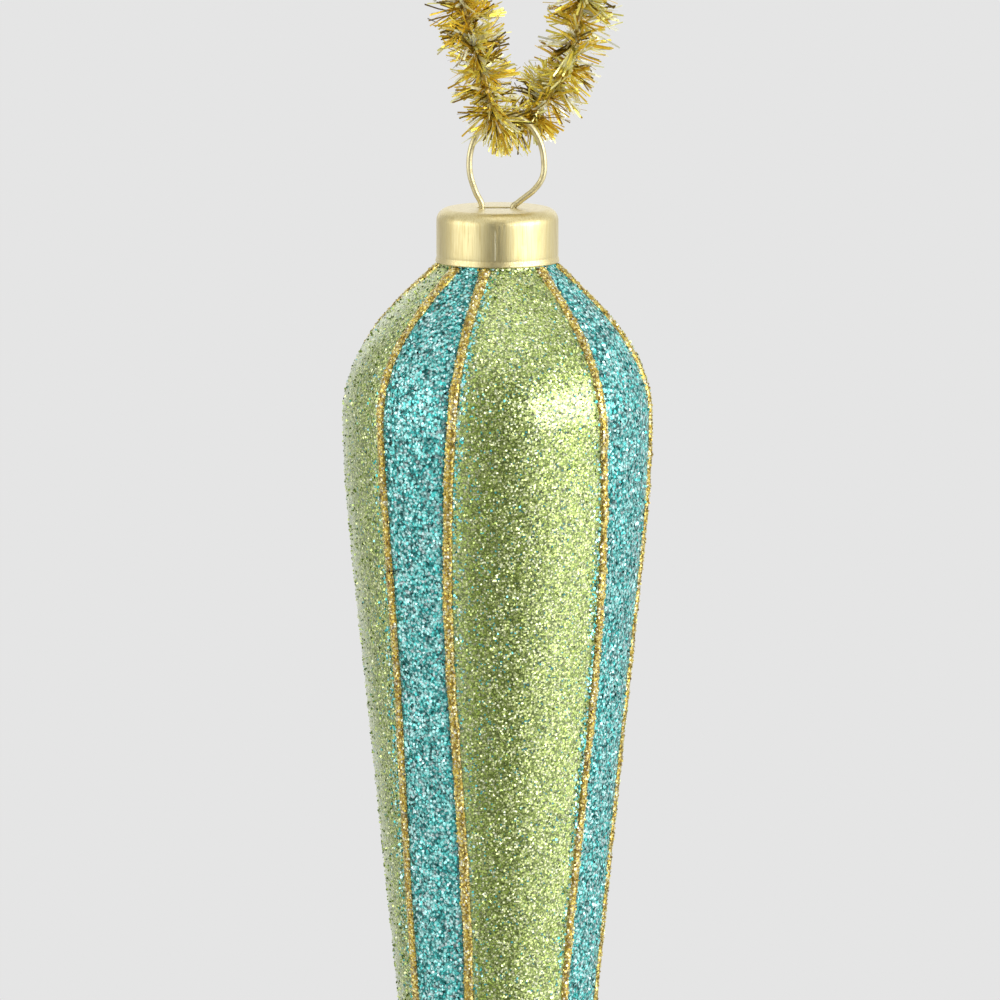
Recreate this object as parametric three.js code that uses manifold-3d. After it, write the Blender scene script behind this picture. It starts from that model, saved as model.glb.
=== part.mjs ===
// Finial ornament: a long glass drop with painted glitter stripes, a drawn metal cap, a sprung
// wire ring and a loop of tinsel.
//
// Millimetres, +Z up, front towards -Y. The origin is the underside of the tinsel loop's top,
// where the loop hangs on a twig or a hook. The glass drop's axis is the Z axis. Angles round the
// drop are in degrees from the front, positive towards +X.
import * as THREE from "three";
import { mergeVertices } from "three/addons/utils/BufferGeometryUtils.js";
import Module from "manifold-3d";

const wasm = await Module();
wasm.setup();

// Clearances
const REST_GAP = 0.3; // between pieces that rest on each other
const ADHESIVE = 0.06; // film of glue between the glass and the glitter
const SEAM_GAP = 0.06; // between two neighbouring coats of glitter

// Glass drop, bare, with depths measured down from the cap's lower rim
const NECK_RADIUS = 9.1;
const NECK_DROP = 0.75; // straight neck that shows below the rim
const SHOULDER_SLOPE = 43.5; // degrees below the horizontal, where the neck flares out
const SHOULDER_LEAD = 7; // how far the shoulder follows that slope
const BELLY_RADIUS = 24.65;
const BELLY_DEPTH = 25;
const BELLY_RISE = 12; // how far above its widest place the belly stays upright
const TAPER_RADIUS = 22.45; // where the belly has run into the straight taper
const TAPER_DEPTH = 55;
const GLASS_LENGTH = 251;
const NOSE_RADIUS = 2.6; // where the taper meets the rounded tip
const NOSE_LENGTH = 3.4;
const GLASS_WALL = 1.05;

// Glitter
const COAT_START = 0.03; // share of the shoulder curve that stays bare under the cap
const COAT_THICKNESS = 0.35;
const LINE_WIDTH = 1.6;
const LINE_HEIGHT = 0.8; // crest of a gold bead over the glue
const TIP_MARGIN = 1.1; // the beads run together where a stripe is this many line widths wide

// Cap
const CAP_HEIGHT = 8.75;
const CAP_WALL = 0.4;
const CAP_FIT = 0.4; // play round the neck
const CAP_EDGE_RADIUS = 2;
const LIP_RADIUS = 0.15; // rolled lower edge

// Hanger wire
const WIRE_DIAMETER = 1;
const RING_HALF_WIDTH = 6.05; // to the wire's centre
const RING_HEIGHT = 15.2; // crown of the cap to the wire's centre at the top
const RING_MIDDLE = 7.1; // height of its widest place over the crown
const RING_START = -14; // degrees from its right side, where the oval begins
const RING_END = 213; // where it ends, lower on the left
const LEG_SPREAD = 5; // between the two legs' centres in the slot
const RIGHT_FOOT = 0.9; // the right side runs up and out of the slot at 45 degrees from here
const ELBOW_OUT = 6.1; // from the cap's axis, where the right side turns up into the ring
const ELBOW_HEIGHT = 3.1;
const SPRING_REACH = 20.5; // how far the legs go down inside, under the crown
const SPRING_BOW = 14; // where they press outwards
const SPRING_END = 4.4; // half the distance between their ends
const SPRING_WAIST = 7.7; // where the legs, below the crown, have gone most of the way out
const RING_SWING = 45; // degrees to each side that the ring swings on the tinsel

// Tinsel
const CORE_RADIUS = 0.5;
const STRAND_LENGTH = 5.3; // the longest ones
const STRAND_SHORTEST = 0.86; // length of the shortest free ones, as a share of that
const STRAND_PITCH = 2.38; // between two whorls of strands
const STRAND_TIP = 0.3; // width of the foil at its end
const STRAND_FOIL = 0.12; // thickness of the foil at its end
const STRAND_TILT = 0.36; // most that a strand slopes along the core, as a share of its length
const TAIL_TILT = 0.12; // the same in the twisted tail, where the strands are closer
const STRAND_LEAN = 0.16; // most that it slopes round the core
const TAIL_FAN = Math.cos(Math.PI / 3); // each twisted end has strands up to 60 degrees off its side
const BEND_CROWDING = 0.42; // share of a bend's radius that the strands inside it fill
const TAIL_LENGTH = 11;
const TAIL_TURN_HEIGHT = 6.6; // one turn of the twisted ends

// Route of the tinsel's core, chosen by hand: down the left leg, through the ring and up the right
// leg. It crosses the ring's plane where the ring's top rests on it.
const RING_CONTACT = new THREE.Vector3(1.5, 0, -75);
const ROUTE = [
  [-2.4, 0, -4],
  [-5.6, -0.5, -13],
  [-7.6, -1.2, -26],
  [-7.2, -1.9, -40],
  [-5.5, -2.7, -54.6],
  [-3.4, -3, -63.5],
  [-1.7, -3, -69.2],
  [-0.4, -2.2, -73.7],
  RING_CONTACT.toArray(),
  [4.1, 2.3, -74.4],
  [7, 3, -72.5],
  [9.5, 3, -69.4],
  [11.6, 3, -65.4],
  [12.9, 2.9, -61],
  [13.7, 2.6, -53],
  [13.9, 1.9, -41],
  [11.8, 1.2, -27],
  [7.4, 0.5, -13.5],
  [2.5, 0, -4],
];
const LEG_MIDDLE = -40; // height that parts each leg into an upper and a lower stretch
const LEGS_MEET = -14; // above this height the strands of one leg reach those of the other

// Gold beads: mean angle, and how far and over which length the hand-painted line sways; gather is
// how far it is drawn aside at the neck.
const GOLD_LINES = [
  { angle: -51.3, sway: 3.5, crest: 50, wave: 160, gather: 8 },
  { angle: -18.4, sway: -2.1, crest: 58, wave: 105, gather: 4 },
  { angle: 44.6, sway: 2.4, crest: 62, wave: 108, gather: 6 },
  { angle: 80, sway: 1.6, crest: 40, wave: 110, gather: 9 },
  { angle: 138, sway: -2, crest: 70, wave: 120, gather: 4 },
  { angle: 168, sway: 1.8, crest: 50, wave: 100, gather: -4 },
  { angle: 222, sway: 2.2, crest: 75, wave: 115, gather: 4 },
  { angle: 252, sway: -1.8, crest: 45, wave: 108, gather: 22 },
];
const GATHER_DEPTH = 6; // over which the pull at the neck dies out

// Coats between each bead and the next one round, in the beads' order
const PANELS = [
  { name: "teal_stripe_front_left", finish: "teal", columns: 2 },
  { name: "green_panel_front", finish: "green", columns: 4 },
  { name: "teal_stripe_front_right", finish: "teal", columns: 2 },
  { name: "green_panel_right", finish: "green", columns: 4 },
  { name: "teal_stripe_back_right", finish: "teal", columns: 2 },
  { name: "green_panel_back", finish: "green", columns: 4 },
  { name: "teal_stripe_back_left", finish: "teal", columns: 2 },
  { name: "green_panel_left", finish: "green", columns: 4 },
];

// Facets
const SHOULDER_STEPS = 7;
const BELLY_STEPS = 4;
const TAPER_STEPS = 9;
const NOSE_STEPS = 3;
const INSIDE_COLUMNS = 24;
const CAP_COLUMNS = 40;
const CAP_ARC_STEPS = 2; // facets across each of the cap's roundings
const SLOT_ARC_STEPS = 3;
const WIRE_SIDES = 8;
const WIRE_STEPS = 72;
const RING_POINTS = 10;
const CORE_SIDES = 6;
const WHORL_STEPS = 6; // core stations from one whorl to the next
const GROWING_STATION = 2; // the strands grow between this station and the one after it
const TWIST_PER_WHORL = Math.PI / CORE_SIDES; // each whorl stands between the last one's strands
const WHORLS_PAST_RING = 2;
const POINTS_PER_TURN = 4; // of the twisted ends

// Places that follow from the sizes
const WIRE_RADIUS = WIRE_DIAMETER / 2;
const RING_TOP_Z = RING_CONTACT.z + CORE_RADIUS + REST_GAP + WIRE_RADIUS;
const CROWN_Z = RING_TOP_Z - RING_HEIGHT;
const RIM_Z = CROWN_Z - CAP_HEIGHT;
const BORE_RADIUS = NECK_RADIUS - GLASS_WALL;
const CAP_INNER_RADIUS = NECK_RADIUS + CAP_FIT;
const CAP_RADIUS = CAP_INNER_RADIUS + CAP_WALL;
const CAP_INNER_EDGE = CAP_EDGE_RADIUS - CAP_WALL;
// The neck's rim seats in the rounding inside the crown.
const SEAT_RISE = Math.sqrt(
  Math.max((CAP_INNER_EDGE - REST_GAP) ** 2 - (CAP_INNER_EDGE - CAP_FIT) ** 2, 0),
);
const NECK_TOP_Z = CROWN_Z - CAP_EDGE_RADIUS + SEAT_RISE;
const RING_LEAN = RING_CONTACT.x; // the ring leans over until its top is at the tinsel

const FINISHES = {
  glass: new THREE.MeshStandardMaterial({ color: 0xcfd8c4, roughness: 0.12, metalness: 0.1 }),
  green: new THREE.MeshStandardMaterial({ color: 0x8aa63c, roughness: 0.45, metalness: 0.6 }),
  teal: new THREE.MeshStandardMaterial({ color: 0x2a9a98, roughness: 0.45, metalness: 0.6 }),
  gold: new THREE.MeshStandardMaterial({ color: 0xb5892f, roughness: 0.45, metalness: 0.7 }),
  cap: new THREE.MeshStandardMaterial({ color: 0xe0cf86, roughness: 0.28, metalness: 1 }),
  wire: new THREE.MeshStandardMaterial({ color: 0xd9c684, roughness: 0.25, metalness: 1 }),
  tinsel: new THREE.MeshStandardMaterial({ color: 0xc79a22, roughness: 0.2, metalness: 1 }),
};

// Collects facets as loose triangles, each seen anticlockwise from outside.
class Facets {
  corners = [];

  triangle(a, b, c) {
    this.corners.push(a, b, c);
  }

  quad(a, b, c, d) {
    this.triangle(a, b, c);
    this.triangle(a, c, d);
  }

  // A flat face over a ring of corners.
  cover(ring) {
    for (let i = 1; i + 1 < ring.length; i++) {
      this.triangle(ring[0], ring[i], ring[i + 1]);
    }
  }

  geometry() {
    const made = new THREE.BufferGeometry().setFromPoints(this.corners);
    made.computeVertexNormals();
    return made;
  }
}

// A closed geometry as a solid that can be joined and cut.
function solidOf(geometry) {
  const bare = geometry.clone();
  bare.deleteAttribute("normal");
  bare.deleteAttribute("uv");
  const merged = mergeVertices(bare);
  return new wasm.Manifold(
    new wasm.Mesh({
      numProp: 3,
      vertProperties: merged.getAttribute("position").array,
      triVerts: new Uint32Array(merged.index.array),
    }),
  );
}

function geometryOf(solid) {
  const mesh = solid.getMesh();
  const made = new THREE.BufferGeometry();
  made.setAttribute("position", new THREE.BufferAttribute(mesh.vertProperties, mesh.numProp));
  made.setIndex(new THREE.BufferAttribute(mesh.triVerts, 1));
  made.computeVertexNormals();
  return made;
}

// Numbers spread evenly from one value to another, both included.
function spread(from, to, steps) {
  return Array.from({ length: steps + 1 }, (_, i) => from + ((to - from) * i) / steps);
}

// Bare glass outline

const radians = THREE.MathUtils.degToRad;
const noseStart = new THREE.Vector2(NOSE_RADIUS, RIM_Z - GLASS_LENGTH + NOSE_LENGTH);
const taperStart = new THREE.Vector2(TAPER_RADIUS, RIM_Z - TAPER_DEPTH);
const taperWay = noseStart.clone().sub(taperStart).normalize();

function shoulderCurve() {
  const start = new THREE.Vector2(NECK_RADIUS, RIM_Z - NECK_DROP);
  const slope = radians(SHOULDER_SLOPE);
  return new THREE.CubicBezierCurve(
    start,
    new THREE.Vector2(
      start.x + SHOULDER_LEAD * Math.cos(slope),
      start.y - SHOULDER_LEAD * Math.sin(slope),
    ),
    new THREE.Vector2(BELLY_RADIUS, RIM_Z - BELLY_DEPTH + BELLY_RISE),
    new THREE.Vector2(BELLY_RADIUS, RIM_Z - BELLY_DEPTH),
  );
}

function bellyCurve() {
  const third = (TAPER_DEPTH - BELLY_DEPTH) / 3;
  return new THREE.CubicBezierCurve(
    new THREE.Vector2(BELLY_RADIUS, RIM_Z - BELLY_DEPTH),
    new THREE.Vector2(BELLY_RADIUS, RIM_Z - BELLY_DEPTH - third),
    taperStart.clone().addScaledVector(taperWay, -third),
    taperStart,
  );
}

function noseCurve() {
  const quarter = 0.55; // share of a radius that makes a Bezier curve a quarter of an ellipse
  return new THREE.CubicBezierCurve(
    noseStart,
    noseStart.clone().addScaledVector(taperWay, quarter * NOSE_LENGTH),
    new THREE.Vector2(quarter * NOSE_RADIUS, RIM_Z - GLASS_LENGTH),
    new THREE.Vector2(0, RIM_Z - GLASS_LENGTH),
  );
}

// The narrowest stripe fixes where the beads run together into the gold tip.
const narrowestStripe = Math.min(
  ...GOLD_LINES.map((line, i) => {
    const next = GOLD_LINES[(i + 1) % GOLD_LINES.length];
    const sway = Math.abs(line.sway) + Math.abs(next.sway);
    return THREE.MathUtils.euclideanModulo(next.angle - line.angle, 360) - sway;
  }),
);
const tipRadius = (TIP_MARGIN * LINE_WIDTH) / radians(narrowestStripe);
const tipShare = (TAPER_RADIUS - tipRadius) / (TAPER_RADIUS - NOSE_RADIUS);

// Stations down the outline, each with its radius, height and outward direction.
function stationsOn(points) {
  return points.map((point, i) => {
    const before = points[Math.max(i - 1, 0)];
    const after = points[Math.min(i + 1, points.length - 1)];
    const way = after.clone().sub(before).normalize();
    const pole = point.x < 1e-9;
    return { r: point.x, z: point.y, outR: pole ? 0 : -way.y, outZ: pole ? -1 : way.x };
  });
}

const neckTop = new THREE.Vector2(NECK_RADIUS, NECK_TOP_Z);
const shoulder = shoulderCurve();
const belly = bellyCurve();
const taper = new THREE.LineCurve(taperStart, noseStart);
const nose = noseCurve();
const coated = [
  ...spread(COAT_START, 1, SHOULDER_STEPS).map((t) => shoulder.getPoint(t)),
  ...spread(0, 1, BELLY_STEPS).slice(1).map((t) => belly.getPoint(t)),
  ...spread(0, tipShare, TAPER_STEPS).slice(1).map((t) => taper.getPoint(t)),
];
const dipped = [
  coated.at(-1),
  noseStart,
  ...spread(0, 1, NOSE_STEPS).slice(1).map((t) => nose.getPoint(t)),
];
const glassStations = stationsOn([neckTop, shoulder.getPoint(0), ...coated, ...dipped.slice(1)]);
const firstCoated = 2;
const firstDipped = firstCoated + coated.length - 1;
const coatStations = glassStations.slice(firstCoated, firstDipped + 1);
const tipStations = glassStations.slice(firstDipped);

// A point over the bare glass, at a height above it.
function overGlass(station, angle, height) {
  const r = station.r + station.outR * height;
  const a = radians(angle);
  return new THREE.Vector3(r * Math.sin(a), -r * Math.cos(a), station.z + station.outZ * height);
}

// Angle of a gold bead's middle at a station.
function beadAngle(line, station) {
  const depth = RIM_Z - station.z;
  const sway = line.sway * Math.cos((2 * Math.PI * (depth - line.crest)) / line.wave);
  return line.angle + sway + line.gather * Math.exp(-Math.max(depth, 0) / GATHER_DEPTH);
}

// Half a gold bead's width at a station, in degrees round the drop.
function beadHalfAngle(station) {
  return THREE.MathUtils.radToDeg(LINE_WIDTH / 2 / station.r);
}

// Angles of a coat's columns at a station, from the bead on its left to the one on its right.
function panelAngles(index, station) {
  const left = GOLD_LINES[index];
  const right = GOLD_LINES[(index + 1) % GOLD_LINES.length];
  const half = beadHalfAngle(station);
  const from = beadAngle(left, station) + half;
  const turn = index + 1 === GOLD_LINES.length ? 360 : 0;
  return spread(from, beadAngle(right, station) + turn - half, PANELS[index].columns);
}

// All columns of the glass at a station: each bead's middle, then the coat beside it.
function glassAngles(station) {
  return GOLD_LINES.flatMap((line, i) => [beadAngle(line, station), ...panelAngles(i, station)]);
}

// A coat on the glass: a patch of stations and columns between two heights over it.
function coatOn(stations, anglesOf, heightsOf) {
  const under = stations.map((s) => anglesOf(s).map((a) => overGlass(s, a, ADHESIVE)));
  const over = stations.map((s) => {
    const angles = anglesOf(s);
    return angles.map((a, j) => overGlass(s, a, ADHESIVE + heightsOf(j, angles.length - 1)));
  });
  const made = new Facets();
  const last = under[0].length - 1;
  for (let i = 0; i + 1 < stations.length; i++) {
    for (let j = 0; j < last; j++) {
      made.quad(over[i][j], over[i + 1][j], over[i + 1][j + 1], over[i][j + 1]);
      made.quad(under[i][j], under[i][j + 1], under[i + 1][j + 1], under[i + 1][j]);
    }
    made.quad(over[i][0], under[i][0], under[i + 1][0], over[i + 1][0]);
    made.quad(over[i][last], over[i + 1][last], under[i + 1][last], under[i][last]);
  }
  const end = stations.length - 1;
  for (let j = 0; j < last; j++) {
    made.quad(over[0][j], over[0][j + 1], under[0][j + 1], under[0][j]);
    made.quad(over[end][j], under[end][j], under[end][j + 1], over[end][j + 1]);
  }
  return made.geometry();
}

function panelCoat(index) {
  return coatOn(
    coatStations,
    (station) => panelAngles(index, station),
    () => COAT_THICKNESS,
  );
}

function goldBead(line) {
  return coatOn(
    coatStations,
    (station) => {
      const middle = beadAngle(line, station);
      const half = beadHalfAngle(station) - THREE.MathUtils.radToDeg(SEAM_GAP / station.r);
      return [middle - half, middle, middle + half];
    },
    (column) => (column === 1 ? LINE_HEIGHT : COAT_THICKNESS),
  );
}

// A surface of the given height over the glass, closed over its top station and at its pole.
function closedOver(stations, height) {
  const made = new Facets();
  const rings = stations.map((s) => glassAngles(s).map((a) => overGlass(s, a, height)));
  const count = rings[0].length;
  const pole = rings.length - 1;
  for (let i = 0; i < pole; i++) {
    for (let j = 0; j < count; j++) {
      const k = (j + 1) % count;
      if (i + 1 < pole) {
        made.quad(rings[i][j], rings[i + 1][j], rings[i + 1][k], rings[i][k]);
      } else {
        made.triangle(rings[i][j], rings[pole][0], rings[i][k]);
      }
    }
  }
  const middle = new THREE.Vector3(0, 0, rings[0][0].z);
  for (let j = 0; j < count; j++) {
    made.triangle(middle, rings[0][j], rings[0][(j + 1) % count]);
  }
  return solidOf(made.geometry());
}

// The inside runs a wall's thickness within the outline and ends in a short cone over a solid tip.
function glassInside() {
  const inner = glassStations
    .slice(1, glassStations.length - NOSE_STEPS)
    .map((s) => new THREE.Vector2(s.r - s.outR * GLASS_WALL, s.z - s.outZ * GLASS_WALL));
  inner[0] = new THREE.Vector2(BORE_RADIUS, shoulder.getPoint(0).y - GLASS_WALL);
  const low = inner.at(-1);
  const above = NECK_TOP_Z + GLASS_WALL;
  const profile = [
    new THREE.Vector2(0, above),
    new THREE.Vector2(BORE_RADIUS, above),
    ...inner,
    new THREE.Vector2(0, low.y - low.x),
  ];
  return solidOf(lathe(profile, INSIDE_COLUMNS));
}

// A solid of revolution about the Z axis. The profile holds radius and height, from the top of the
// axis outwards and down to the axis again.
function lathe(profile, columns) {
  const upwards = profile.map((p) => new THREE.Vector2(p.x, p.y)).reverse();
  return new THREE.LatheGeometry(upwards, columns).rotateX(Math.PI / 2);
}

function glassBody() {
  return geometryOf(closedOver(glassStations, 0).subtract(glassInside()));
}

// A station further up the taper than another one.
function upTheTaper(station, distance) {
  const r = station.r - taperWay.x * distance;
  return { ...station, r, z: station.z - taperWay.y * distance };
}

// The gold tip: a skin over the point of the glass, open at its upper edge.
function goldTip() {
  const [start, ...rest] = tipStations;
  const skin = closedOver([upTheTaper(start, -SEAM_GAP), ...rest], ADHESIVE + COAT_THICKNESS);
  const room = closedOver([upTheTaper(start, LINE_WIDTH), ...rest], ADHESIVE);
  return geometryOf(skin.subtract(room));
}

// Cap

function capProfile() {
  const outline = new THREE.Path();
  const edge = CAP_RADIUS - CAP_EDGE_RADIUS;
  outline.moveTo(0, CROWN_Z);
  outline.lineTo(edge, CROWN_Z);
  outline.absarc(edge, CROWN_Z - CAP_EDGE_RADIUS, CAP_EDGE_RADIUS, Math.PI / 2, 0, true);
  outline.lineTo(CAP_RADIUS, RIM_Z + 2 * LIP_RADIUS);
  outline.absarc(CAP_RADIUS, RIM_Z + LIP_RADIUS, LIP_RADIUS, Math.PI / 2, -Math.PI / 2, true);
  outline.lineTo(CAP_INNER_RADIUS, RIM_Z);
  outline.lineTo(CAP_INNER_RADIUS, CROWN_Z - CAP_EDGE_RADIUS);
  outline.absarc(edge, CROWN_Z - CAP_EDGE_RADIUS, CAP_INNER_EDGE, 0, Math.PI / 2, false);
  outline.lineTo(0, CROWN_Z - CAP_WALL);
  return outline.getPoints(CAP_ARC_STEPS);
}

// The slot lets both legs through and leaves them room to rock.
function slotCutter() {
  const half = WIRE_RADIUS + REST_GAP;
  const reach = LEG_SPREAD / 2;
  const shape = new THREE.Shape();
  shape.absarc(reach, 0, half, -Math.PI / 2, Math.PI / 2, false);
  shape.absarc(-reach, 0, half, Math.PI / 2, (3 * Math.PI) / 2, false);
  const spare = CAP_WALL; // past the crown on both sides
  const cutter = new THREE.ExtrudeGeometry(shape, {
    depth: CAP_WALL + 2 * spare,
    bevelEnabled: false,
    curveSegments: SLOT_ARC_STEPS,
  });
  return solidOf(cutter.translate(0, 0, CROWN_Z - CAP_WALL - spare));
}

function capShell() {
  return geometryOf(solidOf(lathe(capProfile(), CAP_COLUMNS)).subtract(slotCutter()));
}

// Hanger wire

// Centreline from one leg's end inside the glass, over the ring, to the other leg's end.
function wireRoute() {
  const bow = BORE_RADIUS - REST_GAP - WIRE_RADIUS;
  const half = LEG_SPREAD / 2;
  const leg = [
    [SPRING_END, -SPRING_REACH],
    [(2 * bow + SPRING_END) / 3, -(SPRING_BOW + 2 * SPRING_REACH) / 3],
    [bow, -SPRING_BOW],
    [(half + 3 * bow) / 4, -SPRING_WAIST],
    [half, 0],
  ];
  const rise = RING_HEIGHT - RING_MIDDLE;
  const ring = spread(RING_START, RING_END, RING_POINTS).map((degrees) => {
    const a = radians(degrees);
    return [RING_LEAN + RING_HALF_WIDTH * Math.cos(a), RING_MIDDLE + rise * Math.sin(a)];
  });
  const foot = [half + RIGHT_FOOT, RIGHT_FOOT];
  const elbow = [ELBOW_OUT, ELBOW_HEIGHT];
  const left = leg.map(([x, z]) => [-x, z]).reverse();
  return new THREE.CatmullRomCurve3(
    [...leg, foot, elbow, ...ring, ...left].map(([x, z]) => new THREE.Vector3(x, 0, CROWN_Z + z)),
  );
}

function hangerWire() {
  const section = new THREE.Shape();
  section.absarc(0, 0, WIRE_RADIUS, 0, 2 * Math.PI);
  return new THREE.ExtrudeGeometry(section, {
    steps: WIRE_STEPS,
    extrudePath: wireRoute(),
    curveSegments: WIRE_SIDES / 2,
  });
}

// Tinsel

// One twisted end of the core, from the top of the loop upwards.
function tailPoints(startAngle) {
  const radius = CORE_RADIUS + REST_GAP / 2;
  const turns = Math.ceil(TAIL_LENGTH / TAIL_TURN_HEIGHT) + 1;
  return spread(0, TAIL_LENGTH, POINTS_PER_TURN * turns).map((rise) => {
    const a = startAngle + (2 * Math.PI * rise) / TAIL_TURN_HEIGHT;
    return new THREE.Vector3(radius * Math.cos(a), radius * Math.sin(a), CORE_RADIUS + rise);
  });
}

const core = new THREE.CatmullRomCurve3([
  ...tailPoints(Math.PI).reverse(),
  ...ROUTE.map((point) => new THREE.Vector3(...point)),
  ...tailPoints(0),
]);
core.arcLengthDivisions = 2000;
const whorls = Math.round(core.getLength() / STRAND_PITCH);
const coreSteps = whorls * WHORL_STEPS;
const corePoints = core.getSpacedPoints(coreSteps);
const coreFrames = core.computeFrenetFrames(coreSteps);
const coreStep = core.getLength() / coreSteps;

// A number from 0 to 1 that looks random and is the same on each run.
function scatter(a, b) {
  const value = Math.sin(a * 12.9898 + b * 78.233) * 43758.5453;
  return value - Math.floor(value);
}

// One ring of corners round the core at a station, turned with the wire's twist.
function coreRing(step) {
  const turn = (TWIST_PER_WHORL * step) / WHORL_STEPS;
  return Array.from({ length: CORE_SIDES }, (_, k) => {
    const a = turn + (2 * Math.PI * k) / CORE_SIDES;
    return corePoints[step]
      .clone()
      .addScaledVector(coreFrames.normals[step], CORE_RADIUS * Math.cos(a))
      .addScaledVector(coreFrames.binormals[step], CORE_RADIUS * Math.sin(a));
  });
}

// True where the hanger's ring passes as it swings about the tinsel: near the ring's plane, outside
// what stays open inside the ring and inside what its outer side reaches.
function inRingPath(point) {
  const gap = REST_GAP + STRAND_TIP;
  if (Math.abs(point.y) > WIRE_RADIUS + gap) {
    return false;
  }
  const x = point.x - RING_CONTACT.x;
  const z = point.z - RING_CONTACT.z;
  const reach = Math.hypot(x, z);
  const swing = radians(RING_SWING);
  const fromBelow = Math.min(Math.atan2(Math.abs(x), -z) + swing, Math.PI / 2);
  const open = 2 * (RING_HALF_WIDTH - WIRE_RADIUS) * Math.cos(fromBelow) - gap;
  if (z < 0 && reach < open) {
    return false;
  }
  const outer = RING_HALF_WIDTH + WIRE_RADIUS + gap;
  const centre = RING_HALF_WIDTH - CORE_RADIUS - REST_GAP - WIRE_RADIUS;
  const fromAbove = Math.min(Math.atan2(Math.abs(x), z) + swing, Math.PI);
  const across = centre * Math.sin(fromAbove);
  const side = -centre * Math.cos(fromAbove) + Math.sqrt(outer * outer - across * across);
  return reach < Math.max(side, 0);
}

// True where a strand would leave its own leg's half of the loop, near the top, or pass between the
// loop and its twisted tail.
function pastTwin(point, home) {
  if (home.z < LEGS_MEET) {
    return false;
  }
  const inTail = home.z > 0;
  const aside = Math.hypot(point.x, point.y);
  if (inTail !== point.z > 0 && aside < STRAND_LENGTH + 2 * CORE_RADIUS) {
    return true;
  }
  const away = new THREE.Vector3(home.x, home.y, 0).normalize();
  return point.dot(away) < (inTail ? TAIL_FAN * aside : STRAND_TIP);
}

// How long a strand grows: shorter on the inside of a bend, where strands would meet, and up to
// where the ring passes or the other leg's half begins.
function strandLength(root, way, step, wish) {
  const before = coreFrames.tangents[Math.max(step - 1, 0)];
  const after = coreFrames.tangents[Math.min(step + 1, coreSteps)];
  const bend = after.clone().sub(before).divideScalar(2 * coreStep).dot(way);
  const room = bend > 0 ? BEND_CROWDING / bend : wish;
  const longest = Math.min(wish, room);
  const probe = 0.1;
  let length = 0;
  while (length < longest) {
    const next = root.clone().addScaledVector(way, length + probe);
    if (inRingPath(next) || pastTwin(next, corePoints[step])) {
      break;
    }
    length += probe;
  }
  return Math.min(length, longest);
}

// A foil strand on one facet of the core: four sides that narrow to a blunt end.
function growStrand(made, base, step, side) {
  const [a, b, c, d] = base; // round the core from a to b, along it from b to c
  const root = a.clone().add(b).add(c).add(d).divideScalar(4);
  const out = root.clone().sub(corePoints[step]);
  const along = coreFrames.tangents[step];
  out.addScaledVector(along, -out.dot(along)).normalize();
  const sideways = along.clone().cross(out);
  const most = corePoints[step].z > 0 ? TAIL_TILT : STRAND_TILT;
  const tilt = most * (2 * scatter(step, side) - 1);
  const lean = STRAND_LEAN * (2 * scatter(side + 17, step) - 1);
  const way = out.clone().addScaledVector(along, tilt).addScaledVector(sideways, lean).normalize();
  const share = THREE.MathUtils.lerp(STRAND_SHORTEST, 1, scatter(step + 5, side + 3));
  const length = strandLength(root, way, step, STRAND_LENGTH * share);
  if (length < CORE_RADIUS) {
    return false; // too short to show
  }
  const tip = root.clone().addScaledVector(way, length);
  const corner = (u, v) =>
    tip
      .clone()
      .addScaledVector(along, (u * STRAND_FOIL) / 2)
      .addScaledVector(sideways, (v * STRAND_TIP) / 2);
  const ends = [corner(-1, -1), corner(-1, 1), corner(1, 1), corner(1, -1)];
  base.forEach((from, i) => {
    const next = (i + 1) % base.length;
    made.quad(from, base[next], ends[next], ends[i]);
  });
  made.quad(...ends);
  return true;
}

// A slice of the tinsel from one whorl to another: its core with the strands grown out of it.
function tinselSlice(firstWhorl, lastWhorl) {
  const made = new Facets();
  const steps = [];
  for (let whorl = firstWhorl; whorl < lastWhorl; whorl++) {
    const start = whorl * WHORL_STEPS;
    steps.push(start, start + GROWING_STATION, start + GROWING_STATION + 1);
  }
  steps.push(lastWhorl * WHORL_STEPS - 1);
  const rings = steps.map(coreRing);
  for (let i = 0; i + 1 < steps.length; i++) {
    const growing = steps[i] % WHORL_STEPS === GROWING_STATION;
    for (let k = 0; k < CORE_SIDES; k++) {
      const next = (k + 1) % CORE_SIDES;
      const base = [rings[i][k], rings[i + 1][k], rings[i + 1][next], rings[i][next]];
      const facet = [base[0], base[3], base[2], base[1]];
      if (!growing || !growStrand(made, facet, steps[i], k)) {
        made.quad(...facet);
      }
    }
  }
  made.cover([...rings[0]].reverse());
  made.cover(rings.at(-1));
  return made.geometry();
}

// The whorls where the tinsel's four stretches begin and end: halfway down each leg and just past
// the ring.
function stretchEnds() {
  const places = Array.from({ length: whorls }, (_, whorl) => corePoints[whorl * WHORL_STEPS]);
  const low = places.flatMap((place, whorl) => (place.z < LEG_MIDDLE ? [whorl] : []));
  const distances = places.map((place) => place.distanceTo(RING_CONTACT));
  const atRing = distances.indexOf(Math.min(...distances));
  return [0, low[0], atRing + WHORLS_PAST_RING, low.at(-1), whorls];
}

// Assembly

const ornament = new THREE.Group();

function add(name, geometry, finish, group) {
  const mesh = new THREE.Mesh(geometry, FINISHES[finish].clone());
  mesh.name = name;
  group.add(mesh);
}

const ends = stretchEnds();
const tinsel = new THREE.Group();
add("tinsel_upper_left", tinselSlice(ends[0], ends[1]), "tinsel", tinsel);
add("tinsel_lower_left", tinselSlice(ends[1], ends[2]), "tinsel", tinsel);
add("tinsel_lower_right", tinselSlice(ends[2], ends[3]), "tinsel", tinsel);
add("tinsel_upper_right", tinselSlice(ends[3], ends[4]), "tinsel", tinsel);

const hanger = new THREE.Group();
add("hanger_wire", hangerWire(), "wire", hanger);

const capGroup = new THREE.Group();
add("cap", capShell(), "cap", capGroup);

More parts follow.
